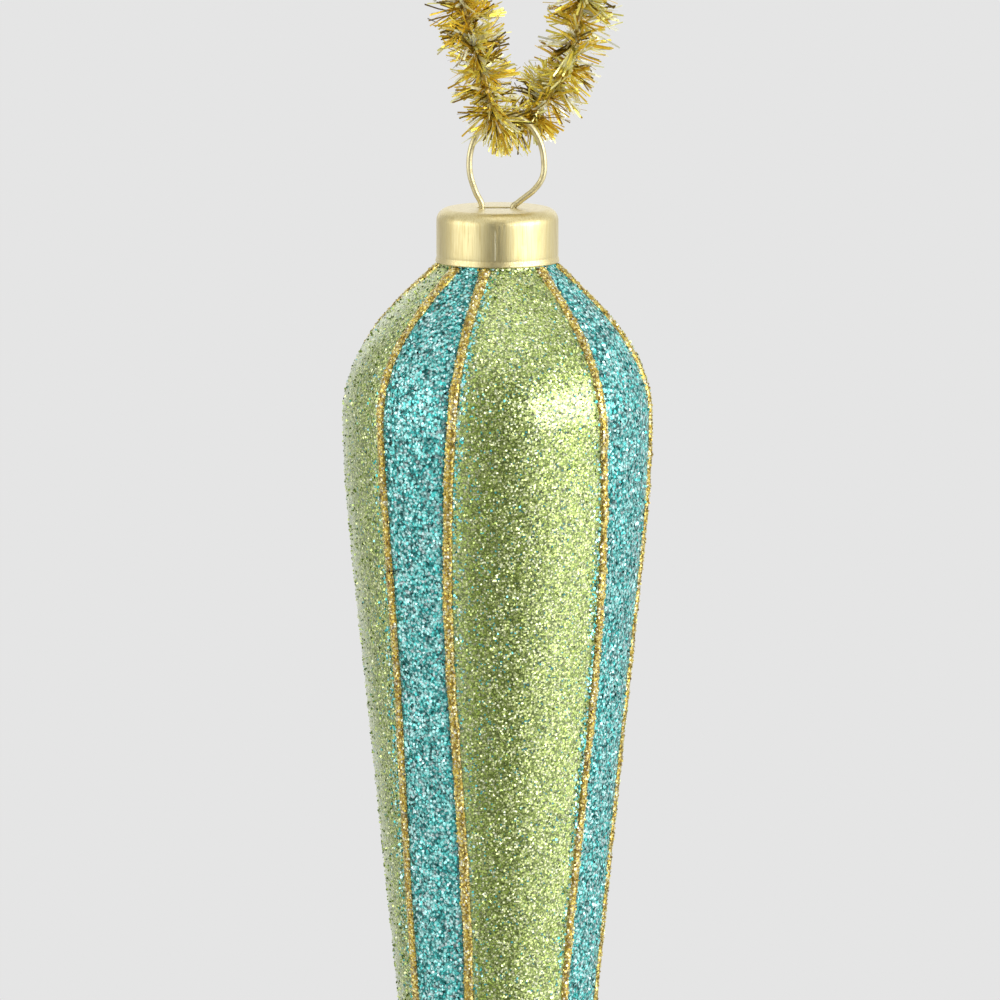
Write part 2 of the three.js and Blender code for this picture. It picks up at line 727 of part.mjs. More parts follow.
const drop = new THREE.Group();
add("glass_body", glassBody(), "glass", drop);
PANELS.forEach((panel, i) => add(panel.name, panelCoat(i), panel.finish, drop));
GOLD_LINES.forEach((line, i) => add(`gold_line_${i + 1}`, goldBead(line), "gold", drop));
add("gold_tip", goldTip(), "gold", drop);

ornament.add(tinsel, hanger, capGroup, drop);

export default ornament;
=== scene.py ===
import logging
import math
import random
from collections.abc import Callable
from dataclasses import dataclass, field, replace
from enum import Enum

import bmesh
import bpy
from mathutils import Matrix, Vector, noise


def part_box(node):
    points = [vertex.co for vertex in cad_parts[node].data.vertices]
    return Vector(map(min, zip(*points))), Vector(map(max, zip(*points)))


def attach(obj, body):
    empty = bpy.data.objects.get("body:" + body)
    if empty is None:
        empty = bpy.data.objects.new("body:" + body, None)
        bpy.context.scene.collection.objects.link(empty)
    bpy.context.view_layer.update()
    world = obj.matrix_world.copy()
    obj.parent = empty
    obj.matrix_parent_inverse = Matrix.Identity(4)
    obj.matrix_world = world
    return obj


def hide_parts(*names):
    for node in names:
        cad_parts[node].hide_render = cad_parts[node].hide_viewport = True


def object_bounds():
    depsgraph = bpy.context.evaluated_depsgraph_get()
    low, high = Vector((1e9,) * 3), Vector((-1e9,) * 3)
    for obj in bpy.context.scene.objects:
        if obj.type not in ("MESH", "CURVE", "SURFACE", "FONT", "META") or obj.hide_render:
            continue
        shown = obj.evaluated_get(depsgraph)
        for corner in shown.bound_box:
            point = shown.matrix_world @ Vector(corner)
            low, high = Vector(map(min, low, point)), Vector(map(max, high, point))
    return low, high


# Looks of the finial ornament: a long glass drop with stripes of glitter, its drawn cap, the
# sprung wire ring and the tinsel loop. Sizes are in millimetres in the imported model's frame, and
# meshes are made in metres.
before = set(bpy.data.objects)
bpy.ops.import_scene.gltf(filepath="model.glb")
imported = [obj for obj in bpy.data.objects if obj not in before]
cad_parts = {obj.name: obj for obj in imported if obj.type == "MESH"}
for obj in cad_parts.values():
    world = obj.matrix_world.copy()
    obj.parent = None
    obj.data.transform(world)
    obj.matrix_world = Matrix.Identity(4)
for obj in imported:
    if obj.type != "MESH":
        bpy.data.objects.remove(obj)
CAD_BOX = [list(corner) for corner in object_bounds()]

MM = 0.001
BAKE_MAP = "OFBake"
MERGE = 1e-7  # metres within which points are one
LOG = logging.getLogger("finial_ornament")

Colour = tuple[float, float, float]
Socket = bpy.types.NodeSocket
Shades = tuple[tuple[float, Colour], ...]


def linear(red: int, green: int, blue: int) -> Colour:
    """Turns a display colour of 0 to 255 a channel into a linear one.

    Args:
        red: Red channel.
        green: Green channel.
        blue: Blue channel.

    Returns:
        The linear colour.
    """
    shares = (channel / 255 for channel in (red, green, blue))
    return tuple(s / 12.92 if s <= 0.04045 else ((s + 0.055) / 1.055) ** 2.4 for s in shares)


def blend_of(a: float, b: float, share: float) -> float:
    """Returns the value a share of the way from a to b."""
    return a + (b - a) * share


def wander(place: float, seed: float) -> float:
    """Returns smooth noise from about -1 to 1 at a place on a line of its own."""
    return noise.noise(Vector((place, seed, 0.37 * seed)))


# Shaders


class Shader:
    """A material whose nodes are added and linked one by one."""

    def __init__(self, name: str) -> None:
        """Starts an empty material.

        Args:
            name: The material's name.
        """
        self.material = bpy.data.materials.new(name)
        self.material.use_nodes = True
        self.tree = self.material.node_tree
        self.tree.nodes.clear()
        self.output = self.add("ShaderNodeOutputMaterial")

    def add(self, kind: str, inputs: dict | None = None, **settings) -> bpy.types.Node:
        """Adds a node.

        Args:
            kind: The node's type.
            inputs: Values or sockets for its inputs, by name or place.
            **settings: Other settings of the node.

        Returns:
            The node.
        """
        node = self.tree.nodes.new(kind)
        for key, value in settings.items():
            setattr(node, key, value)
        for key, value in (inputs or {}).items():
            if isinstance(value, Socket):
                self.tree.links.new(value, node.inputs[key])
            else:
                node.inputs[key].default_value = value
        return node

    def math(self, operation: str, *values) -> Socket:
        """Adds a Math node on sockets or numbers and returns its result."""
        inputs = dict(enumerate(values))
        return self.add("ShaderNodeMath", inputs, operation=operation).outputs[0]

    def vector(self, operation: str, *values) -> Socket:
        """Adds a Vector Math node on sockets or vectors and returns its vector."""
        inputs = dict(enumerate(values))
        return self.add("ShaderNodeVectorMath", inputs, operation=operation).outputs[0]

    def scaled(self, vector: Socket, scale) -> Socket:
        """Returns a vector times a number or socket."""
        inputs = {0: vector, "Scale": scale}
        return self.add("ShaderNodeVectorMath", inputs, operation="SCALE").outputs[0]

    def length(self, vector: Socket) -> Socket:
        """Returns a vector's length."""
        node = self.add("ShaderNodeVectorMath", {0: vector}, operation="LENGTH")
        return node.outputs["Value"]

    def remap(self, value, low: float, high: float, to_low: float, to_high: float) -> Socket:
        """Returns a value moved from one range to another, clamped to the new one.

        Args:
            value: The value, a number or a socket.
            low: Start of its range.
            high: End of its range.
            to_low: Start of the new range.
            to_high: End of the new range.

        Returns:
            The moved value.
        """
        inputs = {
            "Value": value, "From Min": low, "From Max": high, "To Min": to_low, "To Max": to_high,
        }
        return self.add("ShaderNodeMapRange", inputs).outputs[0]

    def attribute(self, name: str) -> Socket:
        """Returns a number that the mesh holds under a name."""
        return self.add("ShaderNodeAttribute", attribute_name=name).outputs["Fac"]

    def clouds(
        self, scale: float, detail: float, stretch: tuple[float, float, float] = (1, 1, 1), **more
    ) -> Socket:
        """Returns soft noise over the object.

        Args:
            scale: Its fineness, in waves to the millimetre.
            detail: How many finer layers it has.
            stretch: Factor on each axis.
            **more: Further inputs of the node.

        Returns:
            The noise, from 0 to 1.
        """
        inputs = {"Vector": self.place(stretch), "Scale": scale, "Detail": detail, **more}
        return self.add("ShaderNodeTexNoise", inputs).outputs[0]

    def cells(self, scale: float, **settings) -> bpy.types.Node:
        """Adds cells over the object, with so many to the millimetre, and returns the node."""
        inputs = {"Vector": self.place(), "Scale": scale}
        return self.add("ShaderNodeTexVoronoi", inputs, **settings)

    def first(self, colour: Socket) -> Socket:
        """Returns the first of a colour's three numbers."""
        return self.add("ShaderNodeSeparateXYZ", {0: colour}).outputs[0]

    def mix(self, share, a, b) -> Socket:
        """Mixes two colours.

        Args:
            share: Share of the second one.
            a: First colour or socket.
            b: Second colour or socket.

        Returns:
            The mixed colour.
        """
        node = self.add("ShaderNodeMix", data_type="RGBA")
        for place, value in ((0, share), (6, a), (7, b)):
            if isinstance(value, Socket):
                self.tree.links.new(value, node.inputs[place])
            elif isinstance(value, tuple):
                node.inputs[place].default_value = (*value, 1)
            else:
                node.inputs[place].default_value = value
        return node.outputs[2]

    def ramp(self, value: Socket, stops: Shades) -> Socket:
        """Colours a value by a ramp.

        Args:
            value: A number from 0 to 1.
            stops: Places along the ramp, each with its colour.

        Returns:
            The colour.
        """
        node = self.add("ShaderNodeValToRGB", {"Fac": value})
        elements = node.color_ramp.elements
        for i, (place, colour) in enumerate(stops):
            element = elements[i] if i < 2 else elements.new(place)
            element.position = place
            element.color = (*colour, 1)
        return node.outputs[0]

    def bump(self, height: Socket, strength: float, distance: float) -> Socket:
        """Returns a normal that a height raises.

        Args:
            height: The height, from 0 to 1.
            strength: Share of the effect.
            distance: Depth in millimetres of a height of 1.

        Returns:
            The normal.
        """
        inputs = {"Height": height, "Strength": strength, "Distance": distance * MM}
        return self.add("ShaderNodeBump", inputs).outputs[0]

    def place(self, stretch: tuple[float, float, float] = (1, 1, 1)) -> Socket:
        """Returns the place on the object in millimetres, each axis times its stretch."""
        scale = tuple(share / MM for share in stretch)
        at = self.add("ShaderNodeTexCoord").outputs["Object"]
        return self.add("ShaderNodeMapping", {"Vector": at, "Scale": scale}).outputs[0]

    def principled(self, inputs: dict) -> bpy.types.Material:
        """Finishes the material with the main shader.

        Args:
            inputs: Values or sockets for the shader's inputs.

        Returns:
            The material.
        """
        return self.finished(self.add("ShaderNodeBsdfPrincipled", inputs))

    def finished(self, shader: bpy.types.Node) -> bpy.types.Material:
        """Gives the material a shader as its surface and returns it."""
        self.tree.links.new(shader.outputs[0], self.output.inputs["Surface"])
        return self.material


@dataclass(frozen=True)
class GlitterFinish:
    """Flakes of glitter in glue: each flake has a shade and a lean of its own. Besides the flakes'
    own tones, the darkest shades are painted reflections of dark surroundings and the near-white
    ones are painted glints.
    """

    name: str
    flake: float  # across one flake
    # the flakes' tones: the darkest are painted reflections of dark surroundings, the near-white
    # ones painted glints
    shades: Shades
    glue: Colour  # between the flakes, and the colour of the painted shade in the hollows and beside the beads
    loose: float = 0.4  # across one loose flake
    lean: float = 3.0  # how far flakes lean
    clump: float = 0.16  # how much the shade varies over a few millimetres
    grit: float = 0.3  # how much the shade varies within a flake
    pits: float = 0.75  # depth of painted shade in the hollows between heaps of flakes
    metallic: float = 0.75
    roughness: float = 0.3
    gloss: float = 0.25  # weight of the clear glue over the flakes

    @property
    def loose_radius(self) -> float:
        """Half the width of one loose flake."""
        return self.loose / 2

    def material(self) -> bpy.types.Material:
        """Builds the glitter's material.

        Returns:
            The glitter's material.
        """
        made = Shader(self.name)
        loose = made.attribute("flake")
        on_flake = made.math("GREATER_THAN", loose, -0.5)
        in_skin = made.math("SUBTRACT", 1.0, on_flake)
        cells = made.cells(1 / self.flake)
        parts = made.add("ShaderNodeSeparateXYZ", {0: cells.outputs["Color"]})
        own = made.math("MULTIPLY", parts.outputs[0], in_skin)
        value = made.math("ADD", own, made.math("MULTIPLY", loose, on_flake))
        shade = made.ramp(value, self.shades)
        swing = made.remap(
            made.clouds(0.35, 3.0, Roughness=0.6), 0.3, 0.7, 1 - self.clump, 1 + self.clump
        )
        bit = made.first(made.cells(2.4 / self.flake).outputs["Color"])
        swing = made.math("MULTIPLY", swing, made.remap(bit, 0, 1, 1 - self.grit, 1 + self.grit))
        shade = made.scaled(shade, swing)
        # Darker towards the glue colour at each flake's edge, partly the glue that shows between
        # flakes and partly painted shade; painted shade also in the hollows between heaps of
        # flakes.
        edge = made.remap(cells.outputs["Distance"], 0.42, 0.72, 0.0, 0.75)
        heaps = made.clouds(0.62 / self.flake, 2.0)
        gap = made.math("MAXIMUM", edge, made.remap(heaps, 0.34, 0.47, self.pits, 0.0))
        # Painted shade: the coat darkens towards its glue colour beside each gold bead, where the
        # bead's shadow falls.
        painted_bead_shade = made.attribute("painted_bead_shade")
        painted_bead_shade = made.math("MULTIPLY", painted_bead_shade, made.remap(bit, 0.1, 0.7, 1.0, 0.45))
        gap = made.math("MULTIPLY", made.math("MAXIMUM", gap, painted_bead_shade), in_skin)
        shade = made.mix(gap, shade, self.glue)
        smooth, rough = self.roughness * 0.7, self.roughness * 1.3
        return made.principled(
            {
                "Base Color": shade,
                # Near-white flakes turn less metallic so that they stay white from any side:
                # painted glints.
                "Metallic": made.remap(value, 0.93, 0.97, self.metallic, 0.3),
                "Roughness": made.remap(parts.outputs[2], 0, 1, smooth, rough),
                "Normal": self._leaning(made, cells.outputs["Color"], in_skin),
                "Specular IOR Level": 0.3,
                "Coat Weight": self.gloss,
                "Coat Roughness": 0.24,
                "Coat IOR": 1.85,
            }
        )

    def _leaning(self, made: Shader, cell: Socket, in_skin: Socket) -> Socket:
        """Leans the surface by an amount that is one for a whole flake.

        Args:
            made: The shader that is built.
            cell: A random colour for each flake.
            in_skin: One on the skin of flakes, nought on a loose flake.

        Returns:
            The normal.
        """
        offset = made.vector("SUBTRACT", cell, (0.5, 0.5, 0.5))
        reach = made.math("MULTIPLY", made.math("POWER", made.length(offset), 3.0), self.lean)
        reach = made.math("MULTIPLY", reach, in_skin)
        normal = made.add("ShaderNodeNewGeometry").outputs["Normal"]
        return made.vector("NORMALIZE", made.vector("ADD", normal, made.scaled(offset, reach)))


@dataclass(frozen=True)
class DrawnMetalFinish:
    """Thin sheet drawn into a cup: fine marks down the wall, a faint seam with a painted highlight
    along it, and small dents.
    """

    name: str
    metal: Colour
    tarnish: Colour
    seam_highlight: Colour  # painted highlight along the seam
    seam_ends: tuple[float, float]  # heights where the seam starts and ends
    roughness: float = 0.3
    seam_x: float = -0.35

    def material(self) -> bpy.types.Material:
        """Builds the sheet's material.

        Returns:
            The sheet's material.
        """
        made = Shader(self.name)
        marks = made.clouds(6.5, 4.0, (1, 1, 0.03))
        stains = made.clouds(0.9, 5.0, (1, 1, 0.2))
        dents = made.cells(0.42, feature="SMOOTH_F1")
        dent = made.remap(dents.outputs["Distance"], 0.0, 0.22, 0.0, 1.0)
        axes = made.add("ShaderNodeSeparateXYZ", {0: made.place()})
        off_seam = made.math("ABSOLUTE", made.math("SUBTRACT", axes.outputs[0], self.seam_x))
        behind = made.math("GREATER_THAN", axes.outputs[1], 0.0)
        seam = made.remap(made.math("ADD", off_seam, behind), 0.03, 0.13, 1.0, 0.0)
        low, high = self.seam_ends
        seam = made.math("MULTIPLY", seam, made.remap(axes.outputs[2], high, high + 0.4, 1, 0))
        seam = made.math("MULTIPLY", seam, made.remap(axes.outputs[2], low - 0.4, low, 0, 1))
        height = made.math("MULTIPLY", marks, 0.6)
        height = made.math("ADD", height, made.math("MULTIPLY", seam, 0.8))
        height = made.math("ADD", height, made.math("MULTIPLY", dent, 0.7))
        colour = made.mix(made.remap(stains, 0.5, 0.8, 0.0, 0.5), self.metal, self.tarnish)
        colour = made.mix(made.remap(marks, 0.46, 0.66, 0.0, 0.45), colour, self.tarnish)
        # Painted highlight: the seam is mixed towards a pale colour as if it caught the light.
        colour = made.mix(made.math("MULTIPLY", seam, 0.8), colour, self.seam_highlight)
        rough = made.remap(marks, 0.3, 0.7, self.roughness * 0.8, self.roughness * 1.35)
        return made.principled(
            {
                "Base Color": colour,
                "Metallic": 1.0,
                "Roughness": rough,
                "Normal": made.bump(height, 0.5, 0.05),
                "Coat Weight": 0.5,
                "Coat Roughness": 0.25,
            }
        )


@dataclass(frozen=True)
class WireFinish:
    """Plated wire: fine marks along it and a little wear."""

    name: str
    metal: Colour
    worn: Colour
    roughness: float = 0.3

    def material(self) -> bpy.types.Material:
        """Builds the wire's material.

        Returns:
            The wire's material.
        """
        made = Shader(self.name)
        wear = made.clouds(0.8, 4.0)
        marks = made.clouds(7.0, 2.0)
        smooth, rough = self.roughness * 0.7, self.roughness * 1.5
        return made.principled(
            {
                "Base Color": made.mix(made.remap(wear, 0.5, 0.75, 0, 0.6), self.metal, self.worn),
                "Metallic": 1.0,
                "Roughness": made.remap(wear, 0.3, 0.7, smooth, rough),
                "Normal": made.bump(marks, 0.3, 0.02),
            }
        )


@dataclass(frozen=True)
class FoilFinish:
    """Metallised film cut into narrow strands, each with a shade of its own: dark shades are
    painted reflections of dark surroundings and near-white ones are painted glints.
    """

    name: str
    shades: Shades
    metallic: float = 0.5
    roughness: float = 0.16

    def material(self) -> bpy.types.Material:
        """Builds the foil's material.

        Returns:
            The foil's material.
        """
        made = Shader(self.name)
        value = made.attribute("flake")
        creases_and_shade = made.clouds(2.2, 3.0)
        shade = made.ramp(value, self.shades)
        # Painted shade: the foil darkens towards its darkest shade along the creases.
        shade = made.mix(made.remap(creases_and_shade, 0.45, 0.8, 0.0, 0.25), shade, self.shades[0][1])
        smooth, rough = self.roughness * 0.6, self.roughness * 1.6
        return made.principled(
            {
                "Base Color": shade,
                "Metallic": self.metallic,
                "Roughness": made.remap(creases_and_shade, 0.3, 0.7, smooth, rough),
                "Normal": made.bump(creases_and_shade, 0.5, 0.12),
            }
        )


@dataclass(frozen=True)
class GlassFinish:
    """Clear blown glass with faint ripples."""

    name: str
    tint: Colour

    def material(self) -> bpy.types.Material:
        """Builds the glass.

        Returns:
            The glass's material.
        """
        made = Shader(self.name)
        ripples = made.clouds(0.3, 2.0, (1, 1, 0.25))
        clear = made.remap(ripples, 0.4, 0.7, 0.0, 0.3)
        return made.principled(
            {
                "Base Color": made.mix(clear, self.tint, (1.0, 1.0, 1.0)),
                "Roughness": 0.03,
                "IOR": 1.5,
                "Transmission Weight": 0.5,
                "Normal": made.bump(ripples, 0.3, 0.3),
            }
        )


class Glitter(Enum):
    """The kinds of glitter on the drop."""

    # In each ramp the darkest stops are painted reflections of dark surroundings and the near-white
    # last stops are painted glints; the green's first stops are stray teal flakes.
    GREEN = GlitterFinish(
        name="green_glitter",
        flake=0.29,
        shades=(
            (0.0, linear(84, 190, 192)),
            (0.03, linear(84, 190, 192)),
            (0.045, linear(118, 140, 44)),
            (0.3, linear(172, 198, 86)),
            (0.6, linear(216, 236, 132)),
            (0.88, linear(242, 253, 184)),
            (0.96, linear(248, 255, 212)),
        ),
        glue=linear(78, 96, 26),
        loose=0.42,
        lean=3.2,
        clump=0.1,
        grit=0.4,
        gloss=0.8,
    )
    TEAL = GlitterFinish(
        name="teal_glitter",
        flake=0.46,
        loose=0.5,
        shades=(
            (0.0, linear(14, 112, 112)),
            (0.25, linear(80, 206, 200)),
            (0.5, linear(156, 248, 240)),
            (0.75, linear(194, 255, 250)),
            (0.88, linear(206, 255, 251)),
            (0.95, linear(226, 255, 254)),
        ),
        glue=linear(8, 70, 70),
        lean=5.2,
        grit=0.4,
        pits=0.9,
        metallic=0.66,
        gloss=0.08,
    )
    GOLD = GlitterFinish(
        name="gold_glitter",
        flake=0.36,
        shades=(
            (0.0, linear(164, 134, 38)),
            (0.3, linear(218, 192, 76)),
            (0.6, linear(242, 226, 126)),
            (0.86, linear(252, 240, 176)),
            (0.95, linear(255, 255, 228)),
        ),
        glue=linear(126, 90, 24),
        loose=0.36,
        lean=4.0,
        pits=0.5,
    )


# Meshes


@dataclass(frozen=True)
class Station:
    """A place on the glass's outline, with the way out from the glass."""

    r: float
    z: float
    out_r: float
    out_z: float

    def over(self, angle: float, height: float) -> Vector:
        """Finds a point over the glass.

        Args:
            angle: Degrees from the front towards +X.
            height: Millimetres over the bare glass.

        Returns:
            The point, in metres.
        """
        r = self.r + self.out_r * height
        a = math.radians(angle)
        return Vector((r * math.sin(a), -r * math.cos(a), self.z + self.out_z * height)) * MM

    def out(self, angle: float) -> Vector:
        """Returns the way out from the glass at an angle from the front."""
        a = math.radians(angle)
        return Vector((self.out_r * math.sin(a), -self.out_r * math.cos(a), self.out_z))


Spot = tuple[float, float]  # an angle from the front and a height over the glass
Scatter = Callable[[random.Random, Station], Spot | None]


def placed(name: str, data: bpy.types.ID) -> bpy.types.Object:
    """Puts a mesh, curve, lamp or camera into the scene and returns its object."""
    made = bpy.data.objects.new(name, data)
    bpy.context.scene.collection.objects.link(made)
    return made


def as_object(name: str, mesh: bmesh.types.BMesh, finish: bpy.types.Material) -> bpy.types.Object:
    """Turns a mesh under construction into an object with a material.

    Args:
        name: The object's name.
        mesh: The mesh, which is freed.
        finish: Its material.

    Returns:
        The object.
    """
    data = bpy.data.meshes.new(name)
    mesh.to_mesh(data)
    mesh.free()
    data.materials.append(finish)
    return placed(name, data)


def join_model(made: bpy.types.Object, body: str, slot: str, *nodes: str) -> None:
    """Joins a piece to the model.

    Args:
        made: The piece.
        body: The body that it rides on.
        slot: Not used.
        *nodes: The solids that it stands for.
    """
    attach(made, body)
    if nodes:
        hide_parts(*nodes)


def soften(mesh: bmesh.types.BMesh) -> None:
    """Shades every face of a mesh smooth."""
    for face in mesh.faces:
        face.smooth = True


def as_piece(
    name: str,
    mesh: bmesh.types.BMesh,
    finish: bpy.types.Material,
    body: str,
    slot: str,
    *nodes: str,
) -> bpy.types.Object:
    """Turns a mesh under construction into a finished piece that rides on a body.

    Args:
        name: The piece's name.
        mesh: The mesh, which is freed.
        finish: Its material.
        body: The body that it rides on.
        slot: Not used.
        *nodes: The solids that it stands for.

    Returns:
        The piece.
    """
    made = as_object(name, mesh, finish)
    join_model(made, body, slot, *nodes)
    LOG.info("%s: %d faces on %s", name, len(made.data.polygons), body)
    return made


def turned(profile: list[tuple[float, float]], columns: int) -> bmesh.types.BMesh:
    """Spins a profile round the Z axis into a closed mesh.

    Args:
        profile: Radius and height of each point, in millimetres.
        columns: Faces round the axis.

    Returns:
        The mesh, with its faces outwards.
    """
    made = bmesh.new()
    points = [made.verts.new(Vector((r, 0, z)) * MM) for r, z in profile]
    edges = [made.edges.new(pair) for pair in zip(points, points[1:])]
    bmesh.ops.spin(
        made, geom=points + edges, axis=(0, 0, 1), cent=(0, 0, 0), angle=2 * math.pi,
        steps=columns, use_merge=True,
    )
    bmesh.ops.remove_doubles(made, verts=made.verts, dist=MERGE)
    bmesh.ops.recalc_face_normals(made, faces=made.faces)
    soften(made)
    return made


class Swatches:
    """A band at the top of a bake map with one cell for each shade that a loose piece may have."""

    COLUMNS = 32
    ROWS = 2
    BAND = 0.05  # height of the band

    @classmethod
    def count(cls) -> int:
        """Returns how many cells there are."""
        return cls.COLUMNS * cls.ROWS

    @classmethod
    def value(cls, cell: int) -> float:
        """Returns the shade value of a cell."""
        return (cell + 0.5) / cls.count()

    @classmethod
    def spot(cls, cell: int, u: float, v: float) -> tuple[float, float]:
        """Finds a place in a cell.

        Args:
            cell: The cell.
            u: Place across the cell, from -1 to 1.
            v: Place up the cell, from -1 to 1.

        Returns:
            The place on the bake map.
        """
        column, row = cell % cls.COLUMNS, cell // cls.COLUMNS
        half = 0.36  # keeps a margin round the cell
        x = (column + 0.5 + half * u) / cls.COLUMNS
        y = 1 - cls.BAND + cls.BAND * (row + 0.5 + half * v) / cls.ROWS
        return x, y


class LoosePieces:
    """Many small faces, built a few at a time because one large mesh is slow to grow."""

    CHUNK = 150

    def __init__(self, target: bmesh.types.BMesh) -> None:
        """Starts a collection.

        Args:
            target: The mesh that the faces join.
        """
        self.target = target
        self.waiting = 0
        self._start()

    def _start(self) -> None:
        """Starts the next chunk."""
        self.mesh = bmesh.new()
        self.bake = self.mesh.loops.layers.uv.new(BAKE_MAP)
        self.shade = self.mesh.faces.layers.float.new("flake")

    def flake(self, at: Vector, out: Vector, radius: float, spin: float, cell: int) -> None:
        """Adds a hexagonal flake.

        Args:
            at: Its middle, in metres.
            out: The way that it faces.
            radius: Its radius in millimetres.
            spin: Its turn in its own plane, in radians.
            cell: The swatch that gives its shade.
        """
        turn = out.to_track_quat("Z", "Y").to_matrix().to_4x4() @ Matrix.Rotation(spin, 4, "Z")
        made = bmesh.ops.create_circle(
            self.mesh, cap_ends=True, segments=6, radius=radius * MM,
            matrix=Matrix.Translation(at) @ turn,
        )
        face = made["verts"][0].link_faces[0]
        face.normal_update()
        if face.normal.dot(out) < 0:
            face.normal_flip()
        face[self.shade] = Swatches.value(cell)
        for i, loop in enumerate(face.loops):
            a = math.pi * i / 3
            loop[self.bake].uv = Swatches.spot(cell, math.cos(a), math.sin(a))
        self._count()

    def strand(
        self, root: Vector, way: Vector, bend: Vector, width: float, twist: float, cell: int
    ) -> None:
        """Adds a narrow strand of foil.

        Args:
            root: Where it leaves the core, in metres.
            way: From its root to its end if it were straight, in metres.
            bend: How far its end is bent aside, in metres.
            width: Its width in millimetres.
            twist: How far it turns about itself, in radians.
            cell: The swatch that gives its shade.
        """
        made = bmesh.ops.create_grid(self.mesh, x_segments=1, y_segments=3, size=1)
        side = way.cross(bend).normalized()
        flat = side.cross(way).normalized()
        for vert in made["verts"]:
            across, along = vert.co.x, (vert.co.y + 1) / 2
            turn = twist * (along - 0.5)
            edge = side * math.cos(turn) + flat * math.sin(turn)
            vert.co = root + way * along + bend * along * along + edge * (across * width * MM / 2)
        for face in {face for vert in made["verts"] for face in vert.link_faces}:
            face[self.shade] = Swatches.value(cell)
            face.smooth = True
            for loop in face.loops:
                near = (loop.vert.co - root).length / way.length
                lean = 1 if (loop.vert.co - root).dot(side) > 0 else -1
                loop[self.bake].uv = Swatches.spot(cell, lean, min(2 * near - 1, 1))
        self._count()

    def _count(self) -> None:
        """Counts one more piece and joins the chunk once it is full."""
        self.waiting += 1
        if self.waiting == self.CHUNK:
            self.join()

    def join(self) -> None:
        """Joins the waiting pieces to the target."""
        data = bpy.data.meshes.new("chunk")
        self.mesh.to_mesh(data)
        self.mesh.free()
        self.target.from_mesh(data)
        bpy.data.meshes.remove(data)
        self.waiting = 0
        self._start()

    def finish(self) -> None:
        """Joins what is left and frees the last chunk."""
        self.join()
        self.mesh.free()


class SmoothRoute:
    """A smooth curve through points, read by distance along it."""

    def __init__(self, points: list[Vector], fineness: int = 40) -> None:
        """Lays the curve.

        Args:
            points: The points that it passes, in order.
            fineness: Steps from each point to the next.
        """
        ends = [2 * points[0] - points[1], *points, 2 * points[-1] - points[-2]]
        self.line = [points[0].copy()]
        for a, b, c, d in zip(ends, ends[1:], ends[2:], ends[3:]):
            before, span, after = ((q - p).length ** 0.5 for p, q in ((a, b), (b, c), (c, d)))
            leave = ((b - a) / before - (c - a) / (before + span) + (c - b) / span) * span
            arrive = ((c - b) / span - (d - b) / (span + after) + (d - c) / after) * span
            for step in range(1, fineness + 1):
                t = step / fineness
                bowed = (3 * (c - b) - 2 * leave - arrive) * t**2
                bowed += (2 * (b - c) + leave + arrive) * t**3
                self.line.append(b + leave * t + bowed)
        self.reach = [0.0]
        for here, there in zip(self.line, self.line[1:]):
            self.reach.append(self.reach[-1] + (there - here).length)

    @property
    def length(self) -> float:
        """The curve's length."""
        return self.reach[-1]

    def spaced(self, count: int) -> list[Vector]:
        """Finds points at equal distances along the curve, both ends included.

        Args:
            count: How many steps there are between the points.

        Returns:
            The points, one more than the steps.
        """
        found, i = [], 0
        for step in range(count + 1):
            wanted = self.length * step / count
            while i + 2 < len(self.reach) and self.reach[i + 1] < wanted:
                i += 1
            share = (wanted - self.reach[i]) / (self.reach[i + 1] - self.reach[i])
            found.append(self.line[i].lerp(self.line[i + 1], min(share, 1)))
        return found


def as_curve(name: str, points: list[Vector], radius: float) -> bpy.types.Object:
    """Makes a round wire along points.

    Args:
        name: The piece's name.
        points: Its centreline in millimetres.
        radius: Its radius in millimetres.

    Returns:
        The curve object.
    """
    data = bpy.data.curves.new(name, "CURVE")
    data.dimensions = "3D"
    data.bevel_depth = radius * MM
    data.bevel_resolution = 3
    data.use_fill_caps = True
    spline = data.splines.new("POLY")
    spline.points.add(len(points) - 1)
    for place, point in zip(spline.points, points):
        place.co = (*(point * MM), 1)
    spline.use_smooth = True
    return placed(name, data)


# The drop

CROWN_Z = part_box("cap")[1].z / MM
RIM_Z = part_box("cap")[0].z / MM


